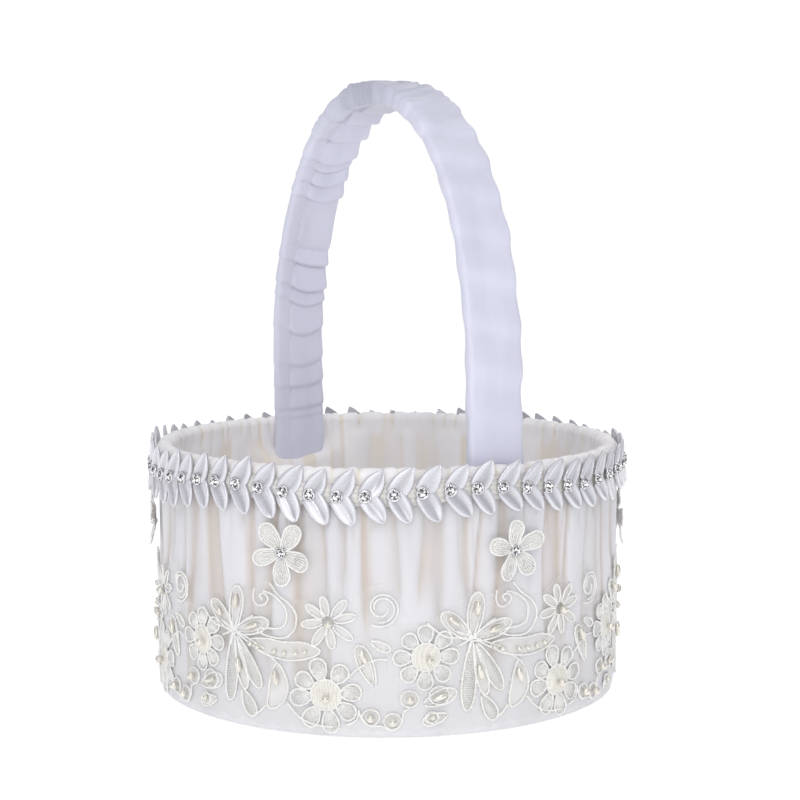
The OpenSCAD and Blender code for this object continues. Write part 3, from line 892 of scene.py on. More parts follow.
# Height of each crease down the far leg, and how full the fold that hangs over it is
FAR_FOLDS = ((231.0, 0.7), (225.5, 1.0), (217.6, 1.15), (209.0, 1.0), (205.7, 0.8), (200.0, 1.0),
             (193.4, 1.1), (171.0, 0.35), (164.0, 0.8), (153.7, 0.9), (148.5, 1.0), (135.8, 0.45),
             (121.0, 0.35), (111.0, 0.4), (101.0, 0.4), (97.7, 0.3), (84.0, 0.3), (71.0, 0.2))
# Where the seam of the sleeve runs on its inner face, from -1 to 1 across the strap
SEAM = -0.42


def handle_path(step=0.6):
    """Middle line of the strap in its own plane, its outward direction, and the length so far."""
    s = sizes("handle")
    centre_x = STRAP_X - s.thick / 2
    rise = STRAP_TOP - s.thick / 2 - s.spring
    t = np.linspace(0, math.pi, 900)
    arch = np.stack([centre_x * np.cos(t), s.spring + rise * np.sin(t)], -1)
    leg = np.linspace(STRAP_LOW, s.spring, 60)[:-1]
    near = np.stack([0 * leg + centre_x, leg], -1)
    far = near[::-1] * [-1, 1]
    line = np.concatenate([near, arch, far])
    run = np.concatenate([[0], np.cumsum(np.hypot(*np.diff(line, axis=0).T))])
    even = np.linspace(0, run[-1], int(run[-1] / step) + 1)
    line = np.stack([np.interp(even, run, line[:, 0]), np.interp(even, run, line[:, 1])], -1)
    along = np.gradient(line, axis=0)
    along /= np.hypot(*along.T)[:, None]
    return line, np.stack([along[:, 1], -along[:, 0]], -1), even


def ruching(along, edges, lean, smile, across):
    """How far each place lies through its fold, 0 to 1, and the number of that fold. The creases between
    folds cross the strap with a lean and a smile."""
    place = along - lean * across - smile * across ** 2
    place = np.clip(place, edges[0], edges[-1] - 1e-6)
    k = np.clip(np.searchsorted(edges, place, side="right") - 1, 0, len(edges) - 2)
    return (place - edges[k]) / (edges[k + 1] - edges[k]), k


def section(width, thick, corner, count=72):
    """Cross-section of the strap, -1 to 1 both ways: a rectangle with round corners."""
    mid_w, mid_n = width / 2 - corner, thick / 2 - corner
    rim = []
    for side_w, side_n, first in ((1, 1, 0), (-1, 1, 90), (-1, -1, 180), (1, -1, 270)):
        for degrees in range(first, first + 91, 10):
            t = math.radians(degrees)
            rim.append((side_w * mid_w + corner * math.cos(t), side_n * mid_n + corner * math.sin(t)))
    rim = np.array(rim + rim[:1])
    run = np.concatenate([[0], np.cumsum(np.hypot(*np.diff(rim, axis=0).T))])
    even = np.linspace(0, run[-1], count, endpoint=False)
    w = np.interp(even, run, rim[:, 0]) / (width / 2)
    n = np.interp(even, run, rim[:, 1]) / (thick / 2)
    return w[None, :], n[None, :]


def strap_mesh(name, line, out, y, lift):
    """A closed tube along the strap from its width and its lift off the middle line."""
    x = line[:, 0][:, None] + out[:, 0][:, None] * lift
    z = line[:, 1][:, None] + out[:, 1][:, None] * lift
    points = np.stack([x, y + 0 * x, z], -1)
    rows, cols = x.shape
    faces = grid_faces(rows, cols, wrap_cols=True).tolist()
    faces += [list(range(cols))[::-1], [(rows - 1) * cols + i for i in range(cols)]]
    return mesh_from(name, points, faces)


def build_wadding():
    """The wadding between the plastic strip and the sleeve."""
    s = sizes("handle")
    line, out, run = handle_path(3.0)
    w, n = section(s.width - 1.9, s.thick - 1.9, 1.4, 32)
    uneven = 0.12 * np.sin(run[:, None] * 0.8 + w * 3.0)
    mesh = strap_mesh("handle_wadding_soft", line[1:-1], out[1:-1], w * (s.width / 2 - 1.5),
                      n * (s.thick / 2 - 1.15 + uneven[1:-1]))
    obj = finish_piece(new_object("handle_wadding_soft", mesh), "white_wadding", "foam", "handle_wadding")


def build_handle():
    """The gathered satin sleeve of the strap: smooth waves on one leg, folds under the arch and on
    the other leg, and a seam along its inner face."""
    s = sizes("handle")
    line, out, run = handle_path()
    total, top = run[-1], run[-1] / 2
    w, n = section(s.width, s.thick, 1.9)
    along = run[:, None]
    inner, outer = np.clip(-n, 0, 1) ** 0.7, np.clip(n, 0, 1) ** 0.7
    rng = np.random.default_rng(21)
    # 0 on the near leg, 1 from just before the top to the far foot
    gathered = step01(along, top - 34, top - 4)
    settled = step01(along, top + 84, top + 118)
    near_top = np.exp(-((along - top) / 38.0) ** 2)

    # the near leg: slow soft swelling across the whole width
    phase = along / 2.45 + 1.3 * np.sin(along / 29.0) + 0.9 * w
    phase = phase + 0.25 * np.sin(phase)
    near_wave = (0.65 * np.sin(phase) + 0.35 * np.sin(phase * 0.43 - 1.6 * w)) * 0.7 + 0.25
    near_wave = near_wave * (1 - gathered)

    # the far leg: folds that hang over each other, each with a full lower lip over its crease
    far_side = line[:, 0] < 0
    places = [float(np.interp(-z, -line[far_side, 1], run[far_side])) for z, _ in FAR_FOLDS]
    edges = np.array([top - 14.0, top - 7.0] + places + [total + 5.0])
    fullness = np.array([0.5] + [full for _, full in FAR_FOLDS] + [0.1, 0.1])
    dip = (2.6 + 1.7 * np.sin(along / 11.0)) * (1 - np.clip((w - 0.2) / 0.85, -1, 1) ** 2)
    sloping = along - dip - 1.8 * np.sin(along / 17.0 + 1.0) * w
    t, k = ruching(sloping, edges, 0.0, 0.0, w)
    lip = t ** 1.3 * (1 - t ** 12)
    longer = np.clip(np.diff(edges, append=edges[-1] + 8)[k] / 8.0, 0.5, 1.2)
    past_seam = 0.35 + 0.65 * step01(w, -0.5, -0.36)
    depth = fullness[k] * longer * step01(along, top - 15, top - 3)
    bulge = (lip - 0.1) * 3.2 * depth * np.where(n < 0, past_seam, 0.6)

    # the top: bunched slanting folds and one deep crease just before the highest place
    uneven = along + 3.0 * np.sin(along / 6.0)
    slant_t, slant_k = ruching(uneven, np.arange(0.0, total + 12, 6.2), 5.0, 1.8, w)
    slant = np.sin(math.pi * slant_t) ** 0.8 * rng.uniform(0.3, 1, 200)[slant_k]
    deep = np.exp(-((along - top + 6.0 + 2.4 * w) / 1.1) ** 2)
    smooth_wave = near_wave + near_top * (1.9 * slant - 0.7 - 0.9 * deep)

    fine_t, fine_k = ruching(along, np.arange(0.0, total + 12, 3.4) + rng.uniform(-1.2, 1.2), 3.0, -1.0, w)
    crinkle = (np.sin(math.pi * fine_t) - 0.5) * 0.3 * rng.uniform(0, 1, 400)[fine_k]
    crinkle = crinkle * (gathered * (1 - settled) * 0.8 + 0.5 * near_top) * \
        (0.35 + 0.65 * (1 - step01(w, -0.75, -0.1)))

    seam = np.exp(-((w - SEAM) / 0.045) ** 2) * (n < 0)
    pull = np.exp(-((w - SEAM) / 0.16) ** 2) * (n < 0) * 0.3 * (0.4 + gathered)
    half_w = s.width / 2 - 0.7 + 0.4 * bulge + 0.6 * smooth_wave
    half_n = s.thick / 2 - 0.3 + inner * (bulge + crinkle) + outer * (smooth_wave + 0.4 * crinkle) \
        - 0.25 * seam - pull * 0.4 + inner * near_top * s.bunch * 1.4
    half_n = np.maximum(half_n, 1.65)
    foot = 1 - step01(np.minimum(along, total - along), 30, 44)
    half_n = np.where(foot > 0, half_n * (1 - foot) + foot * (s.thick / 2 - 0.35), half_n)
    y = w * half_w + 0.35 * np.sin(along / 21.0) * (1 - foot)
    # painted shade: darker in the creases of the far leg and over the top of the arch, and darker along the
    # seam
    crease = np.clip(1 - (np.minimum(t * 0.7, 1 - t) * 7), 0, 1) * inner * np.clip(depth, 0, 1) * past_seam
    fold = np.clip(1 - crease * 0.8 - seam * 0.4 - near_top * 0.85, 0, 1)
    mesh = strap_mesh("handle_sleeve_cloth", line, out, y, n * half_n)
    store(mesh, "fold", fold)
    obj = new_object("handle_sleeve_cloth", mesh)
    finish_piece(obj, "handle_satin", "handle_satin", "handle_sleeve")
    build_handle_stitches(line, out, run, s)


def build_handle_stitches(line, out, run, s):
    """Small stitches along the seam of the sleeve."""
    # counted in points of the path
    first, left_out, apart, stitch = 78, 90, 6, 3
    deep = -(s.thick / 2 + 0.15)
    y = SEAM * s.width / 2
    lines = []
    for i in range(first, len(run) - left_out, apart):
        (x, z), (nx, nz) = line[i], out[i]
        (x2, z2) = line[i + stitch]
        lines.append(([(x + nx * deep, y, z + nz * deep), (x2 + nx * deep, y, z2 + nz * deep)], False))
    obj = cords("handle_stitches", lines, 0.22, "lace_cord", sides=4)
    finish_piece(obj, "lace_cord", "handle_satin")


# ---------------------------------------------------------------- leaf trim

def stone_places():
    """Angle and height of every stone of the trim."""
    s = sizes("trim")
    middle = RIM_Z - s.drop
    for i in range(s.count):
        a = s.start + i * 2 * math.pi / s.count
        yield a, middle + s.wave * math.sin(s.waves * (a + s.wave_turn))


def leaf_mesh(length_, width, thick, blunt):
    """One pressed satin leaf: a tip from pointed (0) to blunt (1), a rolled border, a hollow middle."""
    t = np.array([0.0, 0.1, 0.24, 0.4, 0.56, 0.7, 0.82, 0.91, 0.97])
    v = np.array([-1, -0.86, -0.62, -0.25, 0, 0.25, 0.62, 0.86, 1])
    pointed = np.array([0.85, 0.95, 1.0, 1.0, 0.9, 0.68, 0.43, 0.23, 0.09])
    rounded = np.array([0.85, 0.95, 1.0, 1.0, 1.0, 0.93, 0.76, 0.54, 0.3])
    half = width / 2 * (pointed * (1 - blunt) + rounded * blunt)
    bend = 0.9 * t ** 3
    x = t[:, None] * length_ + 0 * v
    y = v * half[:, None] + bend[:, None]
    border = np.array([0.15, 0.95, 1.0, 0.7, 0.62, 0.7, 1.0, 0.95, 0.15])
    sunk = np.array([0, 0, 0.12, 0.4, 0.42, 0.4, 0.12, 0, 0])
    hollow = np.sin(math.pi * np.clip(t / 0.94, 0, 1))[:, None] ** 0.6
    z = 0.25 + thick * (border - sunk * hollow) * np.array([0.7, 0.8, 1, 1, 1, 1, 1, 0.92, 0.6])[:, None]
    front = np.stack([x, y, z], -1)
    back = np.stack([x, y * 0.98, 0 * z], -1)
    rows, cols = front.shape[:2]
    points = np.concatenate([front.reshape(-1, 3), back.reshape(-1, 3), [[length_, bend[-1] + 0.12, 0.25]]])
    m = rows * cols
    faces = grid_faces(rows, cols).tolist() + (grid_faces(rows, cols)[:, ::-1] + m).tolist()
    faces = [f[::-1] for f in faces]
    edge = [(i, i + 1) for i in range(cols - 1)]
    faces += [[a, b, b + m, a + m] for a, b in edge]
    faces += [[r * cols, r * cols + m, (r + 1) * cols + m, (r + 1) * cols] for r in range(rows - 1)]
    last = cols - 1
    faces += [[r * cols + last, (r + 1) * cols + last, (r + 1) * cols + last + m, r * cols + last + m]
              for r in range(rows - 1)]
    tip, base = 2 * m, (rows - 1) * cols
    for i in range(cols - 1):
        faces += [[base + i, tip, base + i + 1], [base + i + m, base + i + 1 + m, tip]]
    faces += [[base, base + m, tip], [base + last, tip, base + last + m]]
    mesh = mesh_from("leaf", points, faces)
    # painted highlight on the rolled border, stronger towards the tip, and painted shade in the hollow middle
    # and on the back
    painted_light = np.array([0.2, 0.9, 0.75, 0.2, 0.1, 0.2, 0.75, 0.9, 0.2])
    painted_rim_light = painted_light * (0.35 + 0.65 * t[:, None]) + 0.1
    store(mesh, "fold", np.concatenate([painted_rim_light.ravel(), np.zeros(m), [1.0]]))
    return mesh


def build_trim_leaves(name, node, up, seed):
    """One row of leaves, which grows up or down from the stones."""
    s = sizes("trim")
    rng = np.random.default_rng(seed)
    frames = []
    for a, z in stone_places():
        slope = (s.leaf_slope - math.radians(6) * math.sin(a + 0.9) + rng.normal(0, 0.05)) * up
        lean = (rng.uniform(-0.02, 0.1) if up > 0 else rng.uniform(-0.1, 0.0))
        laid_flat = facing(a, slope=slope)
        roll = 0.13 * up + rng.normal(0, 0.05)
        turn = laid_flat @ Matrix.Rotation(lean, 3, "Y") @ Matrix.Rotation(roll, 3, "X")
        place = round_wall(TAPE_R + 0.35, a, z) + laid_flat @ Vector((0.1, 0, 0))
        size = rng.uniform(0.93, 1.04)
        frames.append((place, turn, (size, size * up, size)))
    leaf = leaf_mesh(s.leaf_length, s.leaf_width, 1.0, 0.1 if up > 0 else 0.7)
    obj = copies(name, leaf, frames, "leaf_satin")
    if up < 0:
        obj.data.flip_normals()
    finish_piece(obj, "leaf_satin", "leaf_satin", node)


def build_trim_tape():
    """The woven tape under the leaves."""
    s = sizes("trim")
    low, high = RIM_Z - s.drop - 4.6, RIM_Z - 3.6
    heights = np.concatenate([np.linspace(low, high, 12), np.linspace(high, low, 12)])
    a, across = round_grid(480, heights)
    middle = (RIM_Z - s.drop) + s.wave * np.sin(s.waves * (a + s.wave_turn))
    z = np.clip(heights[:, None] + 0 * a, middle - 4.4, middle + 3.9)
    front = (np.arange(24) < 12)[:, None]
    r = np.where(front, TAPE_R - 0.05 + 0.08 * np.sin(across * 1.7), TAPE_R - 0.5)
    points = polar(r, a, z)
    mesh = cloth("trim_tape_woven", points, flat_map(480, np.cumsum(np.ones(24)) * 0.5), wrap=True,
                 wrap_rows=True)
    finish_piece(new_object("trim_tape_woven", mesh), "tape", "tape", "trim_tape")


def stone_mesh(width, height, seed):
    """One cut stone: a table, and rows of facets down to its girdle, each with its own painted reflection,
    light or dark.
    """
    rng = np.random.default_rng(seed)
    half = width / 2

    def circle(count, r, z, turn=0.0):
        a = (np.arange(count) + turn) * 2 * math.pi / count
        return [(r * math.cos(t), r * math.sin(t), z) for t in a]

    points = [(0, 0, height)] + circle(8, half * 0.52, height) + circle(8, half * 0.8, height * 0.66, 0.5)
    points += circle(16, half, height * 0.3) + [(0, 0, 0)]
    faces = []
    for i in range(8):
        j = (i + 1) % 8
        g, g1, g2 = [17 + (2 * i + k) % 16 for k in range(3)]
        faces += [[0, 1 + i, 1 + j], [1 + i, 9 + i, 1 + j], [9 + i, 9 + j, 1 + j],
                  [9 + i, g, g1], [9 + i, g1, g2], [9 + (i - 1) % 8, g, 9 + i]]
    faces += [[33, 17 + (i + 1) % 16, 17 + i] for i in range(16)]
    mesh = mesh_from("stone", points, faces, smooth=False)
    # painted reflections: the upper facets are dark, middling or bright at random, the lower ones anything
    # between
    painted_light = rng.random(len(faces))
    upper = painted_light[:48]
    painted_light[:48] = np.where(upper < 0.3, 0.02, np.where(upper < 0.5, 0.45, 0.85 + 0.15 * upper))
    store(mesh, "painted_facet_light", painted_light, "FACE")
    return mesh


def cup_mesh(width):
    """One claw cup for a stone."""
    outer, inner = width / 2 + 0.35, width / 2 - 0.25
    ring = [(outer * 0.9, 0.0), (outer, 0.4), (outer, 1.0), (inner + 0.05, 1.15), (inner, 0.6),
            (inner * 0.8, 0.2)]
    a = np.arange(16) * math.pi / 8
    points = [(r * math.cos(t), r * math.sin(t), z) for r, z in ring for t in a]
    faces = grid_faces(len(ring), 16, wrap_rows=True, wrap_cols=True).tolist()
    parts = [(points, faces)]
    for k in range(4):
        t = math.pi / 4 + k * math.pi / 2
        c, s_ = math.cos(t), math.sin(t)
        claw = []
        for r, z, half in ((outer + 0.1, 0.6, 0.5), (outer, 1.5, 0.42), (outer - 0.75, 2.0, 0.26)):
            for sign, dz in ((-1, 0.0), (1, 0.0), (1, -0.35), (-1, -0.35)):
                rr = r - (0.35 if dz else 0.0)
                claw.append((rr * c - sign * half * s_, rr * s_ + sign * half * c, z + dz))
        quads = [[i * 4 + j, i * 4 + (j + 1) % 4, i * 4 + 4 + (j + 1) % 4, i * 4 + 4 + j]
                 for i in range(2) for j in range(4)]
        parts.append((claw, quads + [[3, 2, 1, 0], [8, 9, 10, 11]]))
    return mesh_from("cup", *joined(parts))


def stones_and_cups(name, cup_name, frames, slots, nodes):
    """Cut stones in claw cups at the given frames."""
    s = sizes("trim")
    cups = copies(cup_name, cup_mesh(s.stone_width), frames, "silver_cup")
    finish_piece(cups, "silver_cup", slots[0], nodes[0])
    lifted = [(place + turn @ Vector((0, 0, 0.35)), turn, size) for place, turn, size in frames]
    stones = copies(name, stone_mesh(s.stone_width - 0.2, 1.6, 5), lifted, "stone")
    finish_piece(stones, "stone", slots[1], nodes[1])


def build_trim_stones():
    """The row of stones in their cups."""
    rng = np.random.default_rng(31)
    frames = []
    for a, z in stone_places():
        turn = facing(a, slope=rng.uniform(0, 6.3)) @ Matrix.Rotation(rng.normal(0, 0.05), 3, "X")
        frames.append((round_wall(TAPE_R + 0.75, a, z), turn, 1.0))
    stones_and_cups("trim_stones_cut", "trim_cups", frames, ("silver_cup", "stone"),
                    ("trim_stone_cups", "trim_stones"))


# ---------------------------------------------------------------- lace

def turned(points, degrees, at=(0, 0)):
    """Points turned about the origin and moved."""
    t = math.radians(degrees)
    p = np.asarray(points, dtype=float)
    return np.stack([p[:, 0] * math.cos(t) - p[:, 1] * math.sin(t) + at[0],
                     p[:, 0] * math.sin(t) + p[:, 1] * math.cos(t) + at[1]], -1)


def petal(length_, width, start=0.0, blunt=0.8, count=18):
    """Outline of a petal that points along X and begins at start, as an open loop."""
    t = np.linspace(-math.pi * 0.92, math.pi * 0.92, count)
    x = start + (length_ - start) * (0.5 + 0.5 * np.cos(t))
    y = width / 2 * np.sin(t) * (0.62 + 0.38 * np.cos(t)) ** (1 - blunt)
    return np.stack([x, y], -1)


def stitches(outline, spacing, lean):
    """Satin stitches across a petal outline that is given along X."""
    reach = 0.86
    xs = np.arange(outline[:, 0].min() + 0.9, outline[:, 0].max() - 0.5, spacing)
    half = len(outline) // 2
    low, high = outline[:half], outline[half:][::-1]
    lines = []
    for x in xs:
        y0 = np.interp(x, low[:, 0], low[:, 1])
        y1 = np.interp(x, high[:, 0], high[:, 1])
        if abs(y1 - y0) > 1.2:
            lines.append(np.array([[x + lean, y0 * reach], [x, (y0 + y1) / 2], [x + lean, y1 * reach]]))
    return lines


def rays(petal_length, start, width, count):
    """Satin stitches that run out along a petal."""
    lines = []
    for k in range(count):
        v = (k + 0.5) / count * 2 - 1
        far = start + (petal_length - start) * (0.93 - 0.42 * v * v)
        lines.append(np.array([[start + 0.5, v * width * 0.16], [(start + far) / 2, v * width * 0.36],
                               [far, v * width * 0.36]]))
    return lines


class Motif:
    """Lines of one lace motif, on the flat: outlines in cord, stitches in thread, and closed shapes
    that are filled more densely."""

    def __init__(self):
        self.cord, self.thread, self.filled = [], [], []

    def outline(self, points, closed=False, filled=True):
        self.cord.append((np.asarray(points), closed))
        if filled:
            self.filled.append(np.asarray(points))

    def stitch(self, lines):
        self.thread += [(np.asarray(line), False) for line in lines]


# Middles of the two daisies of one repeat: along the lace, and up from the surface the basket stands on
BIG_DAISY = (68, 15.6)
SMALL_DAISY = (13.6, 29.6)


def daisy(at, size, turn, rays_each):
    """A daisy: satin petals round a domed centre."""
    m = Motif()
    petals = 8
    r, hub_r = size / 2, size * 0.21
    rng = np.random.default_rng(int(at[0] * 10 + size))
    for k in range(petals):
        here = turn + k * 360 / petals + rng.uniform(-4, 4)
        reach = r * rng.uniform(0.93, 1.03)
        width = 2 * math.pi * (hub_r + (r - hub_r) * 0.62) / petals * 0.92
        m.outline(turned(petal(reach, width, hub_r * 0.92, 0.5), here, at))
        m.stitch([turned(line, here, at) for line in rays(reach - 0.4, hub_r, width, rays_each)])
    ring = np.linspace(0, 2 * math.pi, 29)[:-1]
    m.outline(np.stack([at[0] + hub_r * np.cos(ring), at[1] + hub_r * np.sin(ring)], -1), True)
    return m


def star(at, size, turn):
    """A star flower: narrow open petals in one running cord."""
    m = Motif()
    petals = 8
    rng = np.random.default_rng(41)
    for k in range(petals):
        here = turn + k * 360 / petals + rng.uniform(-5, 5)
        reach = size / 2 * rng.uniform(0.86, 1.04)
        m.outline(turned(petal(reach, size * 0.155, size * 0.1, 0.9, 14), here, at))
    return m


def leaf_petal(m, root, tip, width, stitched=None, inner=False, blunt=0.55):
    """A petal or leaf from its root to its tip, which may be stitched across or have an inner line."""
    (x0, z0), (x1, z1) = root, tip
    size = math.hypot(x1 - x0, z1 - z0)
    turn = math.degrees(math.atan2(z1 - z0, x1 - x0))
    shape = petal(size, width, 0.0, blunt, 22)
    m.outline(turned(shape, turn, root))
    if stitched:
        m.stitch([turned(line, turn, root) for line in stitches(shape, stitched, 0.5)])
    if inner:
        small = petal(size * 0.84, width * 0.58, size * 0.1, blunt, 18)
        m.stitch([turned(small, turn, root)])


def orchid():
    m = Motif()
    heart = (30.4, 35.0)
    leaf_petal(m, heart, (32.8, 52.0), 7.4, inner=True)
    leaf_petal(m, heart, (19.4, 45.2), 7.0, inner=True)
    leaf_petal(m, heart, (46.0, 40.4), 6.8, inner=True)
    leaf_petal(m, heart, (28.6, 9.4), 7.0, stitched=0.66, blunt=0.3)
    leaf_petal(m, (31.5, 33.0), (36.0, 14.6), 5.6, blunt=0.4)
    leaf_petal(m, (32.0, 34.0), (42.4, 15.8), 6.6, stitched=0.66, blunt=0.3)
    for line in ([(24.5, 38.6), (30, 36.2), (37, 33.4), (44, 30.6)],
                 [(25, 33), (30, 35.5), (36, 40), (39.5, 42)], [(29, 30), (30.5, 35), (33, 41)]):
        m.outline(smooth_line(line), filled=False)
    return m


def scroll():
    m = Motif()
    m.outline(smooth_line([(46.7, 54.5), (50, 50.7), (54.8, 47.3), (57.1, 43.7), (56.8, 39.6), (54.8, 36.6),
                           (51.4, 34.9), (45.4, 35.2), (42.4, 36.4)]), filled=False)
    m.outline(smooth_line([(40, 52), (39.7, 48.5), (41.4, 46.1), (44.4, 46.6), (46, 48.8), (44.4, 50.6),
                           (42.4, 49.7), (43.7, 47.9)]), filled=False)
    m.outline(smooth_line([(44, 51.5), (48, 50.3), (52, 47.3), (53.4, 44.3), (52.8, 40.2), (50, 38.4),
                           (42.8, 37.7), (41.4, 36)]), filled=False)
    return m


def curl():
    m = Motif()
    t = np.linspace(0, 1, 40)
    for r0, r1, turns, start in ((6.9, 2.0, 1.35, -120), (5.3, 2.6, 0.8, -100)):
        a = np.radians(start) + t * turns * 2 * math.pi
        r = r0 + (r1 - r0) * t
        m.outline(np.stack([88 + r * np.cos(a), 47.5 + r * np.sin(a)], -1), filled=False)
    return m


def leaves():
    m = Motif()
    m.outline(smooth_line([(31, 36.4), (34, 33.8), (40, 30.6), (46, 28.2), (49.5, 25.8)]), filled=False)
    m.outline(smooth_line([(49.5, 25.8), (52.5, 22), (53.8, 17), (52, 12), (48, 9), (45.5, 10), (46, 16),
                           (47.5, 22)], closed=True), True)
    m.outline(smooth_line([(38, 33), (45, 34.2), (52, 33.6), (60, 34), (66, 31.5), (62, 28.6), (54, 27.2),
                           (46, 28.2), (41, 30)], closed=True), True)
    leaf_petal(m, (34.4, 14.5), (39.8, 5.2), 6.4, stitched=0.66, blunt=0.4)
    leaf_petal(m, (12.8, 12.6), (24.6, 16.8), 6.6, inner=True)
    leaf_petal(m, (85.5, 19.5), (79.6, 34.0), 6.6, inner=True)
    leaf_petal(m, (84, 35.5), (91, 32.3), 3.6)
    leaf_petal(m, (21.5, 8.6), (12.5, 6.0), 4.8, stitched=0.66)
    for line in ([(53, 12), (58, 7), (64, 4.6), (71, 4.2)], [(76, 22), (80, 26), (86, 29), (90, 29)],
                 [(14, 42), (20, 37), (26, 36), (30, 35.5)], [(45, 10), (42, 7), (39.5, 5.5)],
                 [(75, 5), (79, 7), (80, 11)]):
        m.outline(smooth_line(line), filled=False)
    return m


def bead_loops():
    m = Motif()
    for x, z, r in ((84.1, 8.1, 3.1), (91.8, 6.7, 3.1), (97.8, 14.7, 3.2), (18.4, 15.6, 3.6),
                    (15.8, 7.7, 2.2)):
        t = np.linspace(0, 2 * math.pi, 21)[:-1]
        m.outline(np.stack([x + r * np.cos(t), z + r * 0.92 * np.sin(t)], -1), True)
    m.outline(smooth_line([(79.8, 11), (80.8, 8), (84, 5.2), (88, 5), (91.8, 3.4), (95, 6), (95.6, 10),
                           (97.8, 11.4)]), filled=False)
    return m


def motifs():
    """Every motif of one repeat, under the CAD node that it stands for."""
    return {
        "lace_big_daisies": daisy(BIG_DAISY, 26.6, 12, rays_each=10),
        "lace_small_daisies": daisy(SMALL_DAISY, 24.0, 0, rays_each=9),
        "lace_star_flowers": star((69, 42), 20.5, 10),
        "lace_orchids": orchid(),
        "lace_scrolls": scroll(),
        "lace_curls": curl(),
        "lace_leaves": leaves(),
        "lace_bead_loops": bead_loops(),
    }


NET_TOP = ((-8, 44), (2, 42), (14, 42.5), (22, 47), (31, 53), (38, 51), (45, 55.5), (55, 49.5), (61, 49.5),
           (69, 54.5), (77, 50), (83, 55.5), (88, 56.5), (93, 53), (98, 44))


def inside(u, z, shape):
    """Which places lie inside a closed shape."""
    hit = np.zeros(u.shape, bool)
    x, y = shape[:, 0], shape[:, 1]
    for i in range(len(x)):
        j = (i + 1) % len(x)
        if y[i] != y[j]:
            hit ^= ((y[i] > z) != (y[j] > z)) & (u < (x[j] - x[i]) * (z - y[i]) / (y[j] - y[i]) + x[i])
    return hit


def build_net():
    """The net of the lace: an open mesh, denser inside the petals, with a scalloped top edge."""
    s = sizes("lace")
    rows = 64
    along = np.arange(COLUMNS) * TURN / COLUMNS
    whole = repeat_starts()[-1]
    local = along - (TURN - whole) / 2
    place = np.where(local < 0, local, np.where(local > whole, local - whole, np.mod(local, s.repeat)))
    top = np.interp(np.maximum(place, -8), *zip(*NET_TOP))
    top = top + 0.25 * np.sin(along * 1.3) * np.sin(along * 0.4)
    t = np.linspace(0, 1, rows)
    z = NET_LOW - 0.2 + (top[None, :] - NET_LOW) * t[:, None]
    low = 0.7 * np.abs(np.sin(along * 0.31)) + 0.5 * np.sin(along * 0.9)
    z = z + low[None, :] * (1 - t[:, None]) ** 4
    u = place[None, :] + 0 * z
    fill = np.zeros(z.shape)
    for motif in motifs().values():
        for shape in motif.filled:
            for shift in (0, -s.repeat, s.repeat):
                fill = np.maximum(fill, inside(u - shift, z, shape))
    a = s.seam + along[None, :] / WALL_R + 0 * z
    r = NET_R - 0.12 + 0.06 * np.sin(along * 1.3)[None, :] + 0.05 * np.sin(z * 0.9) + 0.12 * fill
    flat = flat_map(COLUMNS, z[:, 0])
    flat[..., 1] = np.concatenate([z, z[:, :1]], 1)
    points = polar(r, a, z)[::-1]
    mesh = cloth("lace_net_cloth", points, flat[::-1], wrap=True, fold=fill[::-1])
    obj = finish_piece(new_object("lace_net_cloth", mesh), "lace_net", "lace_net", "lace_net")


def laid(lines, lift):
    """Flat lines of one repeat, laid on the wall at every repeat, as far as they end before the seam."""
    overlap = 1.0
    placed = []
    for start in repeat_starts():
        for points, closed in lines:
            if start + points[:, 0].max() <= TURN + overlap:
                rise = lift + 0.12 * np.sin(points[:, 0] * 1.1 + points[:, 1] * 0.8)
                placed.append((on_wall(points[:, 0] + start, points[:, 1], rise), closed))
    return placed


def build_lace_cords():
    """The cord and thread of every kind of motif."""
    s = sizes("lace")
    for node, motif in motifs().items():
        parts = [(laid(motif.cord, 0.32), s.cord, 6)]
        if motif.thread:
            parts.append((laid(motif.thread, 0.16), s.thread, 4))
        made = [cords(node + "_part", lines, width, "lace_cord", sides) for lines, width, sides in parts]
        obj = made[0] if len(made) == 1 else merged(node + "_cord", made)
        obj.name = obj.data.name = node + "_cord"
        finish_piece(obj, "lace_cord", "lace_cord", node)


def merged(name, objects):
    """One object from several that share a material."""
    parts = []
    for o in objects:
        m = o.data
        co = np.empty(len(m.vertices) * 3)
        m.vertices.foreach_get("co", co)
        parts.append((co.reshape(-1, 3) / MM, [list(p.vertices) for p in m.polygons]))
        bpy.data.objects.remove(o)
    return new_object(name, mesh_from(name, *joined(parts)))


def build_daisy_centres():
    """Woven domes in the middle of the daisies."""
    rings = [(0.0, 1.0), (1.3, 0.96), (2.6, 0.84), (3.8, 0.62), (4.8, 0.34), (5.4, 0.05), (5.2, -0.1),
             (0, -0.15)]
    dome = mesh_from("dome", *lathe(rings[::-1], 20))
    frames = []
    for start in repeat_starts():
        for (along, z), size in ((BIG_DAISY, 1.1), (SMALL_DAISY, 1.0)):
            if start + along <= TURN:
                place = on_wall([start + along], [z], [0.1])[0]
                frames.append((place, facing(float(lace_angle(start + along))), size))
    obj = copies("lace_daisy_centres", dome, frames, "lace_dome")
    finish_piece(obj, "lace_dome", "lace_cord")


# ---------------------------------------------------------------- pearls

def ball(width, count=14):
    """A round bead."""
    t = np.linspace(-math.pi / 2, math.pi / 2, 9)
    profile = [(width / 2 * math.cos(v), width / 2 * math.sin(v)) for v in t]
    return mesh_from("bead", *lathe(profile, count))


def long_bead(long, width):
    """A pointed bead that lies along X."""
    t = np.linspace(0, math.pi, 10)
    profile = [(width / 2 * math.sin(v) ** 0.9, -long / 2 * math.cos(v)) for v in t]
    points, faces = lathe(profile, 12)
    turned_points = [(z, x, y) for x, y, z in points]
    return mesh_from("long_bead", turned_points, faces)


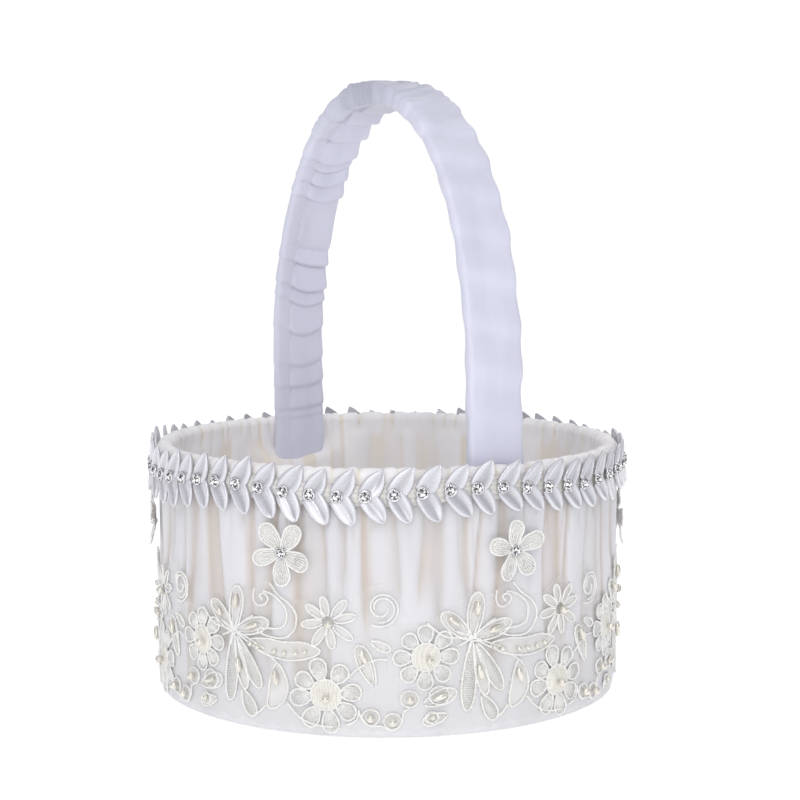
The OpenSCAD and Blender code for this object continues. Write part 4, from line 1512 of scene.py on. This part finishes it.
def bead_frames(places, half, turns=None):
    """Frames that lay beads on the lace at every repeat."""
    frames = []
    for start in repeat_starts():
        for k, (along, z, lift) in enumerate(places):
            if start + along <= TURN:
                place = on_wall([start + along], [z], [lift + half])[0]
                turn = math.radians(turns[k]) if turns else 0.4 * k
                frames.append((place, facing(float(lace_angle(start + along)), slope=turn), 1.0))
    return frames


def build_pearls():
    """Round, seed and pointed pearls, each kind in one piece."""
    s = sizes("lace")
    round_places = [(68.5, 14.6, 1.0), (14.6, 28.8, 0.9), (69.4, 41.6, 0.5), (84.1, 8.1, 0.3),
                    (91.8, 6.7, 0.3), (97.8, 14.7, 0.3)]
    obj = copies("pearls_round_beads", ball(s.pearl), bead_frames(round_places, s.pearl / 2), "pearl")
    finish_piece(obj, "pearl", "pearl", "pearls_round")
    seeds = [(38.8, 31.7, 0.3), (41.9, 30.9, 0.3), (48.8, 30.1, 0.3), (52.7, 29.9, 0.3), (57, 30.1, 0.3),
             (60.6, 30.9, 0.3), (16.0, 8.0, 0.2)]
    obj = copies("pearls_seed_beads", ball(s.seed, 10), bead_frames(seeds, s.seed / 2), "pearl")
    finish_piece(obj, "pearl", "pearl", "pearls_seed")
    drops = [((32.2, 46.6), 84), ((23.6, 42.2), 139), ((39.4, 38.4), 20), ((33.4, 23.2), -78),
             ((49.3, 20.6), -75), ((81.6, 30.2), 112), ((18.5, 15.2), 20)]
    places = [(*p, 0.25) for p, _ in drops]
    frames = bead_frames(places, 1.15, [turn for _, turn in drops])
    obj = copies("pearls_pointed_beads", long_bead(5.6, 2.3), frames, "pearl")
    finish_piece(obj, "pearl", "pearl", "pearls_pointed")


# ---------------------------------------------------------------- sewn flowers

FLOWER_TURNS = (18.0, 35.0, 54.0, 23.0, 36.0, 10.0)
# How far along the lace each flower was sewn off its place
FLOWER_SHIFTS = (0.6, -1.2, 2.3, -2.5, 1.4, -0.8)


def flower_frame(i):
    """Middle of a sewn flower and the rotation that lays it on the wall."""
    s = sizes("lace")
    along = s.flower_along + i * s.repeat + FLOWER_SHIFTS[i % 6]
    a = float(lace_angle(along))
    return round_wall(WALL_R + 1.1, a, s.flower_z), facing(a)


def build_flower(i):
    """One sewn flower: five corded petals of organza that stand a little off the wall."""
    s = sizes("lace")
    rng = np.random.default_rng(60 + i)
    place, base = flower_frame(i)
    reach = s.flower_width / 2
    lines, threads, faces_parts = [], [], []
    for k in range(5):
        turn = math.radians(FLOWER_TURNS[i % 6] + k * 72 + rng.uniform(-4, 4))
        long = reach * rng.uniform(0.95, 1.1)
        wide = reach * rng.uniform(0.64, 0.76)
        tilt = rng.uniform(0.04, 0.2)
        twist = rng.uniform(-0.18, 0.18)
        cup = rng.uniform(0.25, 0.6)

        def stand(points, lift):
            p = np.asarray(points, dtype=float)
            x, y = p[:, 0], p[:, 1]
            z = lift + x * tilt + y * twist + cup * (y / wide * 2) ** 2 * np.clip(x / long, 0, 1) + \
                0.35 * np.sin(x * 0.9 + k)
            out = []
            for px, py, pz in zip(x, y, z):
                out.append(place + base @ Matrix.Rotation(turn, 3, "Z") @ Vector((px, py, max(pz, -0.35))))
            return np.array(out)

        edge = petal(long, wide, 0.6, 0.35, 26)
        lines.append((stand(edge, 0.15), False))
        inner_edge = petal(long * 0.84, wide * 0.66, 1.6, 0.35, 20)
        threads.append((stand(inner_edge, 0.3), False))
        vein = petal(long * 0.64, wide * 0.3, 2.4, 0.35, 14)
        threads.append((stand(vein, 0.3), False))
        for v in np.linspace(-0.8, 0.8, 7):
            x0, x1 = long * 0.5, long * (0.93 - 0.22 * v * v)
            threads.append((stand([(x0, v * wide * 0.3), (x1, v * wide * 0.43)], 0.22), False))
        rings = [np.stack([0.6 + (edge[:, 0] - 0.6) * (0.25 + 0.75 * q), edge[:, 1] * q], -1)
                 for q in (1.0, 0.75, 0.5, 0.25)]
        rings.append([(long * 0.3, 0)])
        top, bottom = [np.concatenate([stand(r, lift) for r in rings]) for lift in (0.2, 0.0)]
        n, m = len(edge), len(top)
        fan = [[3 * n + j, 3 * n + (j + 1) % n, 4 * n] for j in range(n)]
        faces = grid_faces(4, n, wrap_cols=True).tolist() + fan
        under = [[v + m for v in f[::-1]] for f in faces]
        rim = [[j, j + m, (j + 1) % n + m, (j + 1) % n] for j in range(n)]
        faces_parts.append((np.concatenate([top, bottom]), faces + under + rim))
    name = "flower_%d" % (i + 1)
    made = [cords(name + "_part", lines, 0.75, "lace_cord"),
            cords(name + "_part", threads, 0.42, "lace_cord", 4)]
    cord_obj = merged(name + "_cords", made)
    finish_piece(cord_obj, "lace_cord", "lace_cord")
    points, faces = joined(faces_parts)
    petals_obj = new_object(name + "_petals", mesh_from(name + "_petals", points, faces))
    finish_piece(petals_obj, "organza", "organza", name)


def build_flowers():
    """Six sewn flowers, each with a stone in a cup."""
    frames = []
    for i in repeats():
        build_flower(i)
        place, base = flower_frame(i)
        frames.append((place + base @ Vector((0, 0, 0.55)), base @ Matrix.Rotation(0.7 * i, 3, "Z"), 0.86))
    stones_and_cups("flower_stones_cut", "flower_cups_claw", frames, ("silver_cup", "stone"),
                    ("flower_cups", "flower_stones"))


# ---------------------------------------------------------------- stage

def build_stage():
    """Pale floor, soft studio light and the camera."""
    scene = bpy.context.scene
    scene.view_settings.view_transform = "Standard"
    half, low = 3000, -0.2
    floor_mesh = mesh_from("floor", [(-half, -half, low), (half, -half, low), (half, half, low),
                                     (-half, half, low)], [[0, 1, 2, 3]])
    floor = new_object("floor", floor_mesh)
    m = Shade("floor_paper")
    grain = m.noise(m.place(), 30.0, 3.0)
    floor_mesh.materials.append(m.finish(m.mix((0.90, 0.90, 0.90), (0.93, 0.93, 0.93), grain), 0.9,
                                         Emission_Color=(1, 1, 1, 1), Emission_Strength=0.42))

    scene.world = studio_world()
    soft_light("front_light", (860, -550, 450), (0, 0, 90), 700, 2.7, (1.0, 0.99, 0.97))
    soft_light("small_light", (560, -260, 830), (0, 0, 80), 90, 0.6, (1.0, 0.99, 0.98))
    soft_light("low_light", (800, -900, 260), (0, 0, 60), 90, 0.3, (1.0, 0.99, 0.98))
    soft_light("side_light", (-150, -900, 500), (0, 0, 90), 500, 0.14, (0.97, 0.98, 1.0))
    soft_light("back_light", (-500, 700, 650), (0, 0, 120), 600, 1.0, (1.0, 1.0, 1.0))

    scene.camera = studio_camera(turn=-28.3, distance=756.7, height=191.9, tilt=6.06, aside=0.38)


def studio_world():
    """Light from all round the basket, grey at its sides and white overhead, and a white background."""
    world = bpy.data.worlds.new("studio")
    world.use_nodes = True
    m = Nodes(world.node_tree)
    up = m.node("ShaderNodeSeparateXYZ", {0: m.node("ShaderNodeTexCoord", out="Generated")}, out="Z")
    grey = m.node("ShaderNodeValToRGB", {"Fac": up},
                  stops=[(0.0, (0.44, 0.44, 0.46)), (0.5, (0.40, 0.40, 0.45)), (1.0, (1.0, 1.0, 1.0))])
    light = m.node("ShaderNodeBackground", {"Color": grey})
    seen = m.node("ShaderNodeBackground", {"Color": (1, 1, 1, 1), "Strength": 1.05})
    by_ray = m.node("ShaderNodeLightPath", out="Is Camera Ray")
    m.add("ShaderNodeOutputWorld", {"Surface": m.node("ShaderNodeMixShader", {0: by_ray, 1: light, 2: seen})})
    return world


def studio_camera(turn, distance, height, tilt, aside):
    """The camera, turned round the basket and tilted down. Aside is how far it looks past the middle."""
    data = bpy.data.cameras.new("camera")
    data.lens = 86.66
    data.sensor_width = 36.0
    camera = bpy.data.objects.new("camera", data)
    bpy.context.scene.collection.objects.link(camera)
    a = math.radians(turn)
    camera.location = (distance * MM * math.cos(a), distance * MM * math.sin(a), height * MM)
    camera.rotation_euler = Euler((math.radians(90 - tilt), 0, a + math.pi / 2 - math.radians(aside)))
    return camera


def soft_light(name, at, towards, width, power, tint):
    """A square soft box that faces a point."""
    data = bpy.data.lights.new(name, "AREA")
    data.shape = "SQUARE"
    data.size = width * MM
    data.energy = power
    data.color = tint
    light = bpy.data.objects.new(name, data)
    bpy.context.scene.collection.objects.link(light)
    light.location = Vector(at) * MM
    light.rotation_euler = (Vector(towards) - Vector(at)).to_track_quat("-Z", "Y").to_euler()


# ---------------------------------------------------------------- operators

class MakeStage(bpy.types.Operator):
    """Make the floor, the lights and the camera"""
    bl_idname = "basket.stage"
    bl_label = "Stage"

    def execute(self, context):
        build_stage()
        return {"FINISHED"}


class MakeFinishes(bpy.types.Operator):
    """Make every finish, and give the parts inside the walls theirs"""
    bl_idname = "basket.finishes"
    bl_label = "Finishes and inner parts"

    INNER = {"base_cover": "base_cloth", "base_board": "board", "wall_board": "board", "wall_foam": "foam",
             "floor_card": "board", "handle_strip": "strip_plastic", "handle_staples": "staple_steel"}

    def execute(self, context):
        make_materials()
        for node, finish in self.INNER.items():
            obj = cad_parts[node]
            obj.data.materials.clear()
            obj.data.materials.append(MATERIALS[finish])
        return {"FINISHED"}


class MakeOuterSatin(bpy.types.Operator):
    """Make the gathered satin of the outer wall"""
    bl_idname = "basket.outer_satin"
    bl_label = "Outer satin"

    def execute(self, context):
        build_outer_satin()
        return {"FINISHED"}


class MakeLining(bpy.types.Operator):
    """Make the lining and the padded floor"""
    bl_idname = "basket.lining"
    bl_label = "Lining and floor pad"

    def execute(self, context):
        build_lining()
        build_floor_pad()
        build_floor_foam()
        return {"FINISHED"}


class MakeHandle(bpy.types.Operator):
    """Make the gathered sleeve of the handle"""
    bl_idname = "basket.handle"
    bl_label = "Handle sleeve"

    def execute(self, context):
        build_wadding()
        build_handle()
        return {"FINISHED"}


class MakeTrim(bpy.types.Operator):
    """Make the tape, leaves, cups and stones of the trim"""
    bl_idname = "basket.trim"
    bl_label = "Leaf and stone trim"

    def execute(self, context):
        build_trim_tape()
        build_trim_leaves("trim_leaves_up", "trim_leaves_upper", 1, 51)
        build_trim_leaves("trim_leaves_down", "trim_leaves_lower", -1, 52)
        build_trim_stones()
        return {"FINISHED"}


class MakeLace(bpy.types.Operator):
    """Make the net and the cords of the lace"""
    bl_idname = "basket.lace"
    bl_label = "Lace band"

    def execute(self, context):
        build_net()
        build_lace_cords()
        build_daisy_centres()
        return {"FINISHED"}


class MakePearls(bpy.types.Operator):
    """Make the round, seed and pointed pearls"""
    bl_idname = "basket.pearls"
    bl_label = "Pearls"

    def execute(self, context):
        build_pearls()
        return {"FINISHED"}


class MakeFlowers(bpy.types.Operator):
    """Make the sewn flowers and their stones"""
    bl_idname = "basket.flowers"
    bl_label = "Sewn flowers"

    def execute(self, context):
        build_flowers()
        return {"FINISHED"}


STEPS = (MakeStage, MakeFinishes, MakeOuterSatin, MakeLining, MakeHandle, MakeTrim, MakeLace, MakePearls,
         MakeFlowers)
GROUPS = {"trim": TrimSizes, "lace": LaceSizes, "handle": HandleSizes, "colours": Colours}


class BasketPanel(bpy.types.Panel):
    """Lists the sizes and the steps"""
    bl_idname = "VIEW3D_PT_basket"
    bl_label = "Flower girl basket"
    bl_space_type = "VIEW_3D"
    bl_region_type = "UI"
    bl_category = "Basket"

    def draw(self, context):
        for key, group in GROUPS.items():
            box = self.layout.box()
            box.label(text=key.capitalize())
            for name in group.__annotations__:
                box.prop(getattr(context.scene, "basket_" + key), name)
        for step in STEPS:
            self.layout.operator(step.bl_idname)


def register():
    for key, group in GROUPS.items():
        bpy.utils.register_class(group)
        setattr(bpy.types.Scene, "basket_" + key, PointerProperty(type=group))
    for kind in (*STEPS, BasketPanel):
        bpy.utils.register_class(kind)


def unregister():
    for kind in (BasketPanel, *reversed(STEPS)):
        bpy.utils.unregister_class(kind)
    for key, group in GROUPS.items():
        delattr(bpy.types.Scene, "basket_" + key)
        bpy.utils.unregister_class(group)


def main():
    register()
    for step in STEPS:
        getattr(bpy.ops.basket, step.bl_idname.split(".")[1])()


if __name__ == "__main__":
    main()
